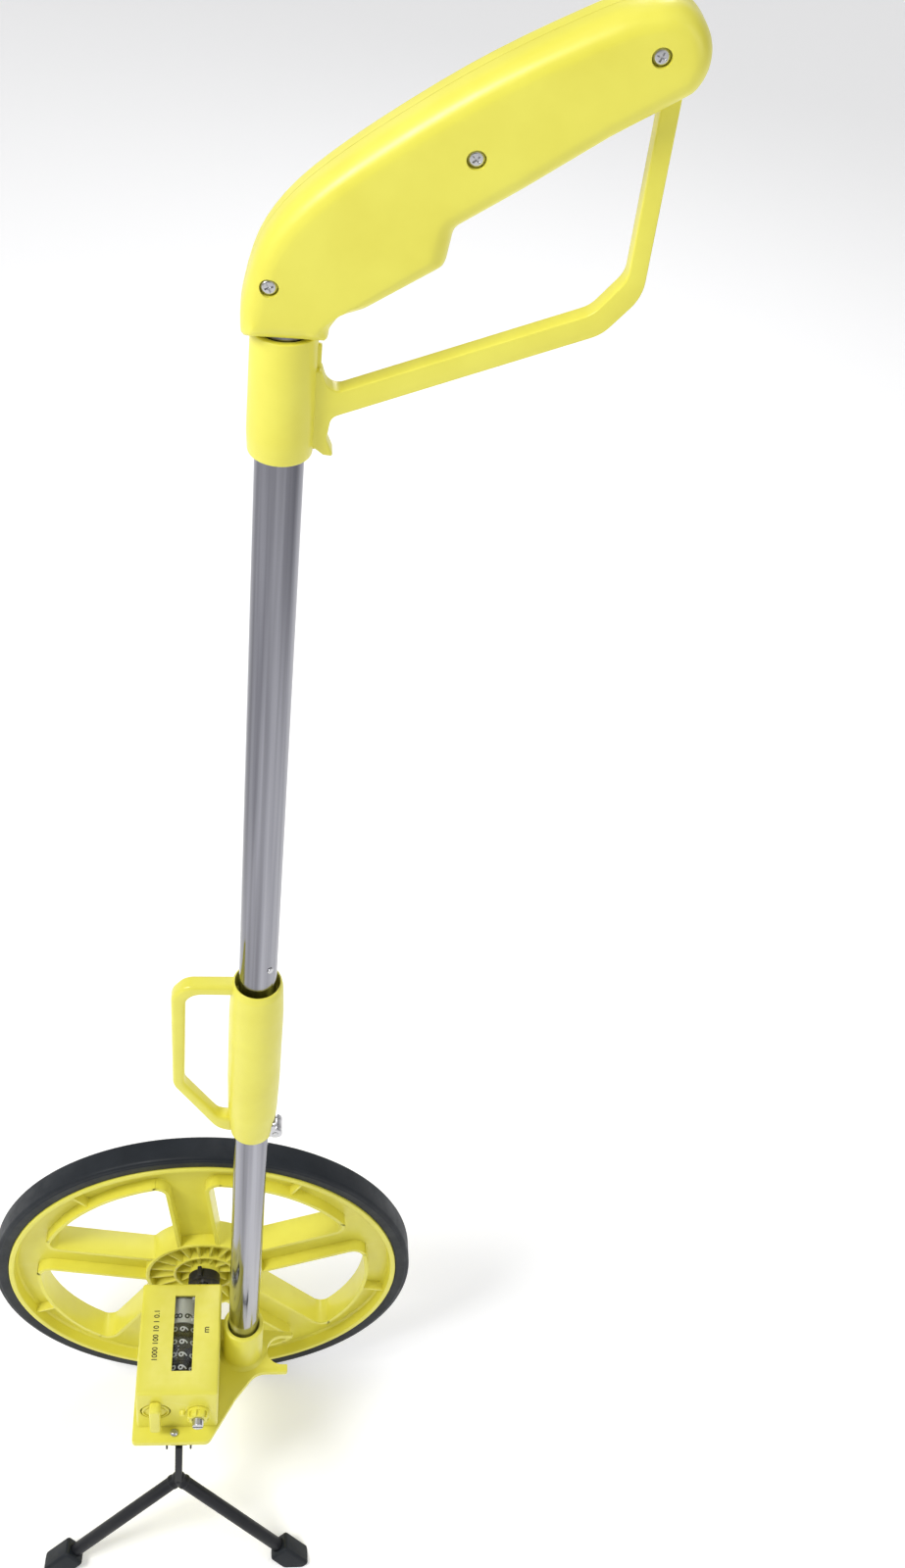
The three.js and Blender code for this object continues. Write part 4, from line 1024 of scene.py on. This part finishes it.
def digit_band(middle_y, shift):
    """The digits 0 to 9 laid round a drum, their tops towards -X where they face up."""
    band = []
    for value in range(10):
        shape = moved(letters(str(value), DIGIT_SIZE, 0.3), Matrix.Rotation(math.pi / 2, 4, "Z"))
        bmesh.ops.triangulate(shape, faces=shape.faces)
        bmesh.ops.subdivide_edges(
            shape, edges=[e for e in shape.edges if e.calc_length() > 2.0], cuts=1,
        )
        turn = (value - 9) * DIGIT_STEP + shift
        for vert in shape.verts:
            angle = vert.co.x / DRUM_R + turn
            radius = DRUM_R + (DIGIT_PROUD if vert.co.z > 0 else -0.4)
            along = vert.co.y + middle_y
            vert.co = (DRUM_X + radius * math.sin(angle), along, DRUM_Z + radius * math.cos(angle))
        band.append(merged(shape))
    return joined(band)


DRUMS = ["tenths", "units", "tens", "hundreds", "thousands"]
for index, name in enumerate(DRUMS):
    low, high = size_of(f"drum_{name}")
    middle = (low.y + high.y) / 2
    drum = pipe(DRUM_R, 2.4, low.y, high.y, "Y", (DRUM_X, 0, DRUM_Z), 0.35, 96)
    first = index == 0
    piece(
        f"{name}_drum", drum, name, "white_plastic" if first else "black_plastic",
        [f"drum_{name}"],
    )
    digits_y = low.y + 5.2 if first else middle
    digits = digit_band(digits_y, math.radians(24 if first else 10))
    piece(
        f"{name}_digits", digits, name, "black_plastic" if first else "white_plastic",
        material=digit_black if first else digit_white,
    )

# %% The drum, pinion and reset shafts, the pinions and the bushes
for node in ("drum_shaft", "pinion_shaft"):
    low, high = size_of(node)
    middle = (low + high) / 2
    bar = rod((high.x - low.x) / 2, low.y, high.y, "Y", (middle.x, 0, middle.z), 0.2, 32)
    piece(node + "_rod", bar, "frame", "steel", [node])
for index in (1, 2, 3, 4):
    low, high = size_of(f"carry_pinion_{index}")
    middle = (low + high) / 2
    pinion = pipe((high.z - low.z) / 2, 1.6, low.y, high.y, "Y", (middle.x, 0, middle.z), 0.25, 40)
    piece(
        f"pinion_{index}_wheel", pinion, f"pinion_{index}", "white_plastic",
        [f"carry_pinion_{index}"],
    )
for node in ("axle_bush_rear", "axle_bush_front"):
    low, high = size_of(node)
    bush = pipe((high.z - low.z) / 2, FREE_BORE_R, low.y, high.y, "Y", AXLE, 0.4, 64)
    piece(node + "_ring", bush, "frame", "black_plastic", [node])

# %% The reset wing and its shaft
reset_low, reset_high = size_of("reset_knob")
RESET = (RESET_X, 0, RESET_Z)
WING_THICK, WING_LONG = 8.0, 32.0
wing = slab(rounded([
    (-WING_THICK / 2, -WING_LONG / 2, 3), (WING_THICK / 2, -WING_LONG / 2, 3),
    (WING_THICK / 2, WING_LONG / 2, 3), (-WING_THICK / 2, WING_LONG / 2, 3),
], 6), reset_low.y, FRONT_Y - 0.3, 1.4, 4)
wing = moved(wing, Matrix.Translation((RESET_X, 0, RESET_Z)))
wing_disc = rod(RESET_OPENING_R - 1.1, FRONT_Y - 0.4, reset_high.y, "Y", RESET, 0.5, 96)
ring_groove = pipe(8.6, 7.0, FRONT_Y - 2, FRONT_Y + 0.5, "Y", RESET, 0, 64)
wing_disc = cut(wing_disc, [ring_groove])
piece("reset_wing", joined([wing, wing_disc]), "reset", "yellow_plastic", ["reset_knob"])
rs_low, rs_high = size_of("reset_shaft")
fingers = [rod(2.0, rs_low.y, rs_high.y, "Y", RESET, 0.2, 32)]
for name in DRUMS:
    low, high = size_of(f"drum_{name}")
    middle = high.y - 4.8 if name != "tenths" else low.y + 4.8
    fingers.append(block(
        RESET_X - 1.2, RESET_X + 1.2, middle - 1.5, middle + 1.5, RESET_Z - 5, RESET_Z, 0.2, 1,
    ))
piece("reset_rod", joined(fingers), "reset", "steel", ["reset_shaft"])

# %% [markdown]
# ## Mast, fold hinge and lock sleeve
# Two chromed tubes butt against each other inside the yellow lock sleeve. Beside the butt a small
# hinge lets the upper tube fold over. The sleeve tapers towards its lower end and carries a closed
# D-shaped loop for the fingers.

# %% The tubes
TUBE_BORE_R = 9.6
for node, body in (("lower_tube", "frame"), ("upper_tube", "mast")):
    low, high = size_of(node)
    tube = pipe(TUBE_R, TUBE_BORE_R, low.z, high.z, "Z", MAST, 0.3, 128)
    half = 3.3 if node == "lower_tube" else 6.6
    notch_z = (high.z - 8.3, high.z + 1) if node == "lower_tube" else (low.z - 1, low.z + 8.3)
    notch = block(MAST_X + 2, MAST_X + TUBE_R + 1, MAST_Y - half, MAST_Y + half, *notch_z)
    piece(node + "_pipe", cut(tube, [notch]), body, "chrome_tube", [node], angle=40)

# %% The hinge's two halves, its pin and the stop rivet
pin_low, pin_high = size_of("hinge_pin")
hinge_at = (pin_low + pin_high) / 2
HINGE = (hinge_at.x, 0, hinge_at.z)
plug_bottom = size_of("hinge_lower")[0].z
plug_top = size_of("hinge_upper")[1].z
PLUG_R = 9.3
KNUCKLE_R = 4.3
low_half = 3.0
plug = rod(PLUG_R, plug_bottom, hinge_at.z - 0.3, "Z", MAST, 0.4, 64)
arm = block(
    MAST_X, hinge_at.x, MAST_Y - low_half, MAST_Y + low_half, hinge_at.z - 8, hinge_at.z - 0.3,
    0.3, 2,
)
eye = rod(KNUCKLE_R, MAST_Y - low_half, MAST_Y + low_half, "Y", HINGE, 0.3, 48)


def pin_bore():
    return rod(1.95, MAST_Y - 20, MAST_Y + 20, "Y", HINGE, 0, 32)


lower_hinge = cut(cut(plug, [arm, eye], "UNION"), [pin_bore()])
piece("lower_hinge_half", lower_hinge, "frame", "steel", ["hinge_lower"])
upper_parts = [rod(PLUG_R, hinge_at.z + 0.3, plug_top, "Z", MAST, 0.4, 64)]
EAR_IN, EAR_OUT = 3.3, 6.3
for y0, y1 in ((MAST_Y - EAR_OUT, MAST_Y - EAR_IN), (MAST_Y + EAR_IN, MAST_Y + EAR_OUT)):
    upper_parts.append(block(MAST_X, hinge_at.x, y0, y1, hinge_at.z + 0.3, hinge_at.z + 8, 0.3, 2))
    upper_parts.append(rod(KNUCKLE_R, y0, y1, "Y", HINGE, 0.3, 48))
upper_hinge = cut(cut(upper_parts[0], upper_parts[1:], "UNION"), [pin_bore()])
piece("upper_hinge_half", upper_hinge, "mast", "steel", ["hinge_upper"])
pin = rod(1.8, pin_low.y, pin_high.y, "Y", HINGE, 0.4, 32)
piece("hinge_rivet", pin, "frame", "steel", ["hinge_pin"])

rivet_low, rivet_high = size_of("stop_rivet")
rivet_z = (rivet_low.z + rivet_high.z) / 2
rivet_turn = math.radians(38)
dome = spun(rounded([
    (0, TUBE_R - 3), (1.4, TUBE_R - 3), (1.4, TUBE_R - 0.1), (2.1, TUBE_R - 0.1, 0.2),
    (1.9, TUBE_R + 0.7, 0.5), (0, TUBE_R + 1.05),
], 3), "Z", (0, 0, 0), 32)
dome_turn = Matrix.Rotation(rivet_turn, 4, "Z") @ Matrix.Rotation(math.pi / 2, 4, "X")
piece(
    "rivet_dome", moved(dome, Matrix.Translation((MAST_X, MAST_Y, rivet_z)) @ dome_turn), "mast",
    "steel",
    ["stop_rivet"],
)

# %% The lock sleeve and its finger loop
sleeve_low, sleeve_high = size_of("lock_sleeve")
S0, S1 = sleeve_low.z, sleeve_high.z
SLEEVE_R = 16.2
sleeve_profile = rounded([
    (12.0, S0, 0.5),
    (SLEEVE_R - 3.0, S0, 1.2),
    (SLEEVE_R - 2.2, S0 + 6, 8),
    (SLEEVE_R - 0.7, S0 + 26, 30),
    (SLEEVE_R, S0 + 60, 30),
    (SLEEVE_R, S1 - 26, 20),
    (SLEEVE_R - 0.9, S1 - 5, 6),
    (SLEEVE_R - 1.9, S1, 1.2),
    (TUBE_R + 2.4, S1, 0.5),
    (TUBE_R + 2.4, S1 - 12, 0.6),
    (TUBE_R + 0.5, S1 - 12, 0.3),
    (TUBE_R + 0.5, S0 + 46, 0.3),
    (12.0, S0 + 45, 0.3),
], 5)
sleeve_tube = spun(sleeve_profile, "Z", MAST, 128)
left = MAST_X - SLEEVE_R + 1
reach = sleeve_low.x
D_BAR, D_DEPTH = 7.5, 10.0
loop_outer = rounded([
    (left + 3, S1 - 1, 0),
    (reach + 8, S1 - 1.5, 10),
    (reach, S1 - 12, 12),
    (reach + 0.5, S0 + 52, 16),
    (left - 7, S0 + 6, 14),
    (left + 3, S0 + 3, 0),
], 7)
loop_inner = rounded([
    (left + 10, S1 - D_BAR - 1.5, 0),
    (reach + D_BAR + 1, S1 - D_BAR - 1.5, 10),
    (reach + D_BAR, S0 + 53, 14),
    (left - 6, S0 + 18, 8),
    (left + 10, S0 + 16, 0),
], 7)
loop = slab(loop_outer, MAST_Y - D_DEPTH / 2, MAST_Y + D_DEPTH / 2)
loop = cut(loop, [slab(loop_inner, MAST_Y - D_DEPTH, MAST_Y + D_DEPTH)])
edges = [
    e for e in loop.edges
    if len(e.link_faces) == 2 and e.calc_face_angle() > 1.2
    and abs(abs(e.verts[0].co.y - MAST_Y) - D_DEPTH / 2) < 0.01
    and abs(abs(e.verts[1].co.y - MAST_Y) - D_DEPTH / 2) < 0.01
]
soften(loop, edges, 2.4, 5)
loop = cut(loop, [rod(TUBE_R + 2.2, S0 - 5, S1 + 5, "Z", MAST, 0, 96)])
knuckle_slot = block(
    MAST_X + 2, MAST_X + SLEEVE_R + 4, MAST_Y - 7.2, MAST_Y + 7.2, S0 - 3, hinge_at.z + 13, 1.2, 3,
)
sleeve_shape = cut(cut(sleeve_tube, [loop], "UNION"), [knuckle_slot])
piece("sleeve_moulding", sleeve_shape, "sleeve", "yellow_plastic", ["lock_sleeve"], angle=34)

# %% [markdown]
# ## Guard sleeve
# A collar on top of the tube, with a thin guard loop that runs out under the grip, bends up and
# enters the grip's far end. A small hooked saddle stands under the loop's root.

# %% The collar, its saddle and the guard loop
G0 = size_of("guard_sleeve")[0].z
G1 = size_of("grip_front")[0].z - 0.3
GUARD_R = 14.8
collar = spun(rounded([
    (TUBE_R + 0.35, G0, 0.5),
    (GUARD_R - 0.6, G0, 1.2),
    (GUARD_R, G0 + 10, 20),
    (GUARD_R - 0.5, G1, 0.6),
    (TUBE_R + 0.35, G1, 0.3),
], 5), "Z", MAST, 128)
GRIP_Z = G1 + 0.3
END = (MAST_X + 133, GRIP_Z + 124)
GUARD_X = END[0] + 8.5
GUARD_HALF = 3.8
GUARD_DEEP = 4.5
guard_in, guard_out = GUARD_X - GUARD_HALF, GUARD_X + GUARD_HALF
guard_top = END[1] - 11
bend = END[1] - 100
side = MAST_X + GUARD_R
guard_outline = rounded([
    (side - 2, G0 + 42, 0),
    (side + 1.5, G0 + 42, 1.5),
    (side + 5, G0 + 31, 6),
    (guard_in - 12, bend - 7, 14),
    (guard_in, bend + 9, 12),
    (guard_in, guard_top, 0),
    (guard_out, guard_top, 0),
    (guard_out, bend + 2, 20),
    (guard_out - 14, bend - 16, 18),
    (side + 6.5, G0 + 20, 5),
    (side + 5, G0 + 9, 5),
    (side + 8.5, G0 + 0.8, 0.8),
    (side + 4, G0 + 1.2, 2),
    (side - 2, G0 + 6, 0),
], 7)
guard = slab(guard_outline, MAST_Y - GUARD_DEEP, MAST_Y + GUARD_DEEP, 1.8, 4)
rib = block(side - 1, side + 1.1, MAST_Y - 1.2, MAST_Y + 1.2, G0 + 2, G1 - 6, 0.5, 3)
collar_bore = rod(TUBE_R + 1.2, G0 - 5, G1 + 5, "Z", MAST, 0, 96)
guard = cut(guard, [collar_bore])
guard_shape = cut(collar, [guard, rib], "UNION")
piece("guard_moulding", guard_shape, "mast", "yellow_plastic", ["guard_sleeve"], angle=34)

# %% [markdown]
# ## Grip
# The grip is two shells screwed together. Its outline is drawn as one curve: a long bowed back, a
# round far end, a straight underside with a step for the forefinger, and a short neck over the
# collar. The outline is given a thickness, its rims are rounded over in seven steps, and the result
# is remeshed finely and smoothed, which runs all the rounds into each other as in a moulding.

# %% The grip's outline
GRIP_HALF = 16.0


def through(points, steps=8):
    """A smooth curve through points: a Catmull-Rom spline with its ends doubled."""
    padded = [points[0], *points, points[-1]]
    curve = []
    for index in range(1, len(padded) - 2):
        p0, p1, p2, p3 = (Vector(p) for p in padded[index - 1:index + 3])
        for step in range(steps):
            t = step / steps
            curve.append(tuple(0.5 * (
                2 * p1 + (p2 - p0) * t
                + (2 * p0 - 5 * p1 + 4 * p2 - p3) * t ** 2
                + (3 * p1 - p0 - 3 * p2 + p3) * t ** 3
            )))
    curve.append(tuple(points[-1]))
    return curve


def grip_place(x, z):
    return (MAST_X + x, GRIP_Z + z)


grip_back = through([
    grip_place(-18, 0), grip_place(-17.5, 16), grip_place(-9, 44), grip_place(14, 71),
    grip_place(64, 109),
    grip_place(110, 136), grip_place(127, 142.5),
], 5)
END_R = 19.5
grip_end = [
    (END[0] + END_R * math.cos(a), END[1] + END_R * math.sin(a))
    for a in [1.75 - step * (1.75 + 0.7) / 16 for step in range(17)]
]
grip_under = rounded([
    grip_place(120, 93), grip_place(90, 70.5), (*grip_place(64.5, 52.5), 4),
    (*grip_place(62.5, 36.5), 5),
    (*grip_place(32, 15.5), 10), (*grip_place(22, 11.5), 5), (*grip_place(18, 5), 3),
    grip_place(18, 0),
    grip_place(17.9, -0.0),
], 5)
grip_outline = [*grip_back, *grip_end, *grip_under[:-1]]


def half_plane(side):
    wide = 300
    y0, y1 = (MAST_Y - wide, MAST_Y - 0.15) if side < 0 else (MAST_Y + 0.15, MAST_Y + wide)
    return block(-wide, wide, y0, y1, GRIP_Z - 60, GRIP_Z + wide)


def evenly(points, spacing):
    """The same closed outline, with its points about one spacing apart."""
    ring = []
    for index, point in enumerate(points):
        start, end = Vector(points[index - 1]), Vector(point)
        count = max(1, round((end - start).length / spacing))
        ring += [start.lerp(end, step / count) for step in range(count)]
    return ring


def inset(ring, distance):
    """Every point of an outline moved inwards, square to the line through its neighbours."""
    count = len(ring)
    turning = sum(ring[i - 1].x * ring[i].y - ring[i].x * ring[i - 1].y for i in range(count))
    sign = 1 if turning > 0 else -1
    moved_ring = []
    for index, point in enumerate(ring):
        along = (ring[(index + 2) % count] - ring[index - 2]).normalized()
        moved_ring.append(point + sign * distance * Vector((-along.y, along.x)))
    return moved_ring


GRIP_ROUND = 10.5
GRIP_VOXEL = 1.1


def rounded_grip():
    """The whole grip: outlines stacked along Y, inset towards both faces, then remeshed."""
    ring = evenly(grip_outline, 2.4)
    steps = 7
    levels = []
    for step in range(steps + 1):
        angle = math.pi / 2 * step / steps
        levels.append((
            GRIP_HALF - GRIP_ROUND * (1 - math.sin(angle)),
            GRIP_ROUND * 0.8 * (1 - math.cos(angle)),
        ))
    section = [(-y, depth) for y, depth in reversed(levels)] + levels
    shape = bmesh.new()
    rings = []
    for y, depth in section:
        rings.append(
            [shape.verts.new((point.x, MAST_Y + y, point.y)) for point in inset(ring, depth)]
        )
    for near, far in zip(rings, rings[1:]):
        for index in range(len(ring)):
            shape.faces.new((near[index - 1], near[index], far[index], far[index - 1]))
    shape.faces.new(rings[0])
    shape.faces.new(rings[-1])
    thing = temporary(tidy(shape), "grip_blank")
    remesh = thing.modifiers.new("remesh", "REMESH")
    remesh.mode = "VOXEL"
    remesh.voxel_size = GRIP_VOXEL
    smooth = thing.modifiers.new("smooth", "SMOOTH")
    smooth.factor = 0.5
    smooth.iterations = 8
    bpy.context.view_layer.update()
    return baked(thing)


# %% Its two shells, with sunk screw seats
screw_seats = [middle_of(f"grip_screw_{index}").xz for index in (1, 2, 3)]
SEAT_DEPTH = 3.2
whole_grip = rounded_grip()
for name, side in (("grip_front", -1), ("grip_rear", 1)):
    shell = cut(whole_grip.copy(), [half_plane(side)], "INTERSECT")
    cuts = [
        rod(TUBE_R + 0.4, GRIP_Z - 5, GRIP_Z + 11.4, "Z", MAST, 0, 64),
        block(
            guard_in - 0.3, guard_out + 0.3, MAST_Y - GUARD_DEEP - 0.3, MAST_Y + GUARD_DEEP + 0.3,
            END[1] - 40, guard_top + 0.3,
        ),
    ]
    if side < 0:
        for x, z in screw_seats:
            cuts.append(
                rod(3.9, MAST_Y - 30, MAST_Y - GRIP_HALF + SEAT_DEPTH, "Y", (x, 0, z), 0, 48)
            )
            cuts.append(rod(1.8, MAST_Y - 25, MAST_Y + 1, "Y", (x, 0, z), 0, 24))
    piece(name + "_shell", cut(shell, cuts), "mast", "yellow_plastic", [name], angle=38)
whole_grip.free()
for index, (x, z) in enumerate(screw_seats, 1):
    low, high = size_of(f"grip_screw_{index}")
    head = spun(rounded([
        (0, 0), (2.6, 0, 0.8), (3.4, 0.8, 0.2), (3.4, 1.6, 0.2), (1.5, 1.6), (1.5, 21, 0.3),
        (0, 21),
    ], 3), "Z", (0, 0, 0), 32)
    head = moved(head, Matrix.Rotation(math.pi, 4, "X"))
    head = cross_recess(head, 1.9, 0.9, 0)
    lay = Matrix.Translation((x, low.y + 0.1, z)) @ Matrix.Rotation(math.pi / 2, 4, "X")
    lay = lay @ Matrix.Rotation(math.radians(23 * index), 4, "Z")
    piece(f"grip_fixing_{index}", moved(head, lay), "mast", "steel", [f"grip_screw_{index}"])

# %% [markdown]
# ## Stand
# A black two-legged stand hangs from a small folded bracket under the plate's front edge. Its
# round legs part from a short stem at a weld, and end in square rubber shoes cut flat to the
# ground.

# %% The bracket, its pin and the fork
sp_low, sp_high = size_of("stand_pin")
hinge_mid = (sp_low + sp_high) / 2
STAND_X, STAND_HINGE_Y, STAND_HINGE_Z = hinge_mid.x, hinge_mid.y, hinge_mid.z
STAND_FEET_Y, STAND_SPREAD, STAND_FORK_Z = -163.0, 90.0, 84.0
LEG_R, FOOT_SIDE, FOOT_LENGTH = 5.0, 17.0, 26.0
STEM_HALF = 2.6
IN_SHOE = FOOT_SIDE * 0.7  # how far a leg stops short of the ground, inside its shoe
stand_lean = math.atan2(STAND_HINGE_Y - STAND_FEET_Y, STAND_HINGE_Z)
stand_long = math.hypot(STAND_HINGE_Y - STAND_FEET_Y, STAND_HINGE_Z)
fork_down = (STAND_HINGE_Z - STAND_FORK_Z) / math.cos(stand_lean)
leg_angle = math.atan2(STAND_SPREAD, stand_long - fork_down)
leg_length = math.hypot(STAND_SPREAD, stand_long - fork_down)
LEAN = Matrix.Translation((STAND_X, STAND_HINGE_Y, STAND_HINGE_Z)) @ Matrix.Rotation(
    -stand_lean, 4, "X",
)


def leg_place(side):
    return LEAN @ Matrix.Translation((0, 0, -fork_down)) @ Matrix.Rotation(
        -side * leg_angle, 4, "Y",
    )


eye = rod(4.0, -6, 6, "X", (0, 0, 0), 0.4, 48)
eye = cut(eye, [rod(2.2, -8, 8, "X", (0, 0, 0), 0, 32)])
stem = block(-STEM_HALF, STEM_HALF, -LEG_R, LEG_R, -fork_down, -3.4, 0.8, 3)
weld = bmesh.new()
bmesh.ops.create_icosphere(weld, subdivisions=3, radius=LEG_R + 0.4)
bmesh.ops.translate(weld, vec=(0, 0, -fork_down), verts=weld.verts)
fork_parts = [moved(part, LEAN) for part in (eye, stem, weld)]
for side in (-1, 1):
    leg = rod(LEG_R, -leg_length + IN_SHOE, 0, "Z", (0, 0, 0), 0.4, 48)
    bead = pipe(LEG_R + 0.5, LEG_R - 0.6, -7.0, -4.6, "Z", (0, 0, 0), 0.4, 48)
    fork_parts += [moved(leg, leg_place(side)), moved(bead, leg_place(side))]
piece("stand_legs", joined(fork_parts), "stand", "stand_steel", ["stand_fork"])

sb_low, sb_high = size_of("stand_bracket")
SHEET = 1.5
bracket_parts = [
    block(sb_low.x, sb_high.x, sb_low.y, sb_high.y, sb_high.z - SHEET, sb_high.z, 0.3, 2)
]
for x0 in (sb_low.x, sb_high.x - SHEET):
    bracket_parts.append(
        block(x0, x0 + SHEET, sb_low.y + 1, sb_low.y + 11, sb_low.z, sb_high.z - 0.2, 0.4, 2)
    )
holes = [rod(SCREW_HOLE_R, sb_low.z, sb_high.z + 2, "Z", (ledge.x, ledge.y, 0), 0, 24)]
bracket_parts[0] = cut(bracket_parts[0], holes)
piece("stand_bracket_sheet", joined(bracket_parts), "frame", "stand_steel", ["stand_bracket"])
pin = rod(2.0, sp_low.x, sp_high.x, "X", (0, STAND_HINGE_Y, STAND_HINGE_Z), 0.5, 32)
piece("stand_pin_rod", pin, "frame", "steel", ["stand_pin"])

# %% The rubber shoes
BELOW_GROUND = 8  # a shoe is made this much too long, and then cut flat at the ground
for name, side in (("stand_foot_left", -1), ("stand_foot_right", 1)):
    half = FOOT_SIDE / 2
    bottom = -leg_length - BELOW_GROUND
    shoe = block(-half, half, -half, half, bottom, bottom + FOOT_LENGTH, 2.4, 4)
    bore = rod(LEG_R + 0.3, -leg_length + IN_SHOE - 0.3, 4, "Z", (0, 0, 0), 0, 48)
    shoe = moved(cut(shoe, [bore]), leg_place(side))
    shoe = cut(shoe, [block(-300, 300, -400, 100, -60, 0)])
    piece(name + "_shoe", shoe, "stand", "tyre_rubber", [name], angle=32, bevel=0.3)
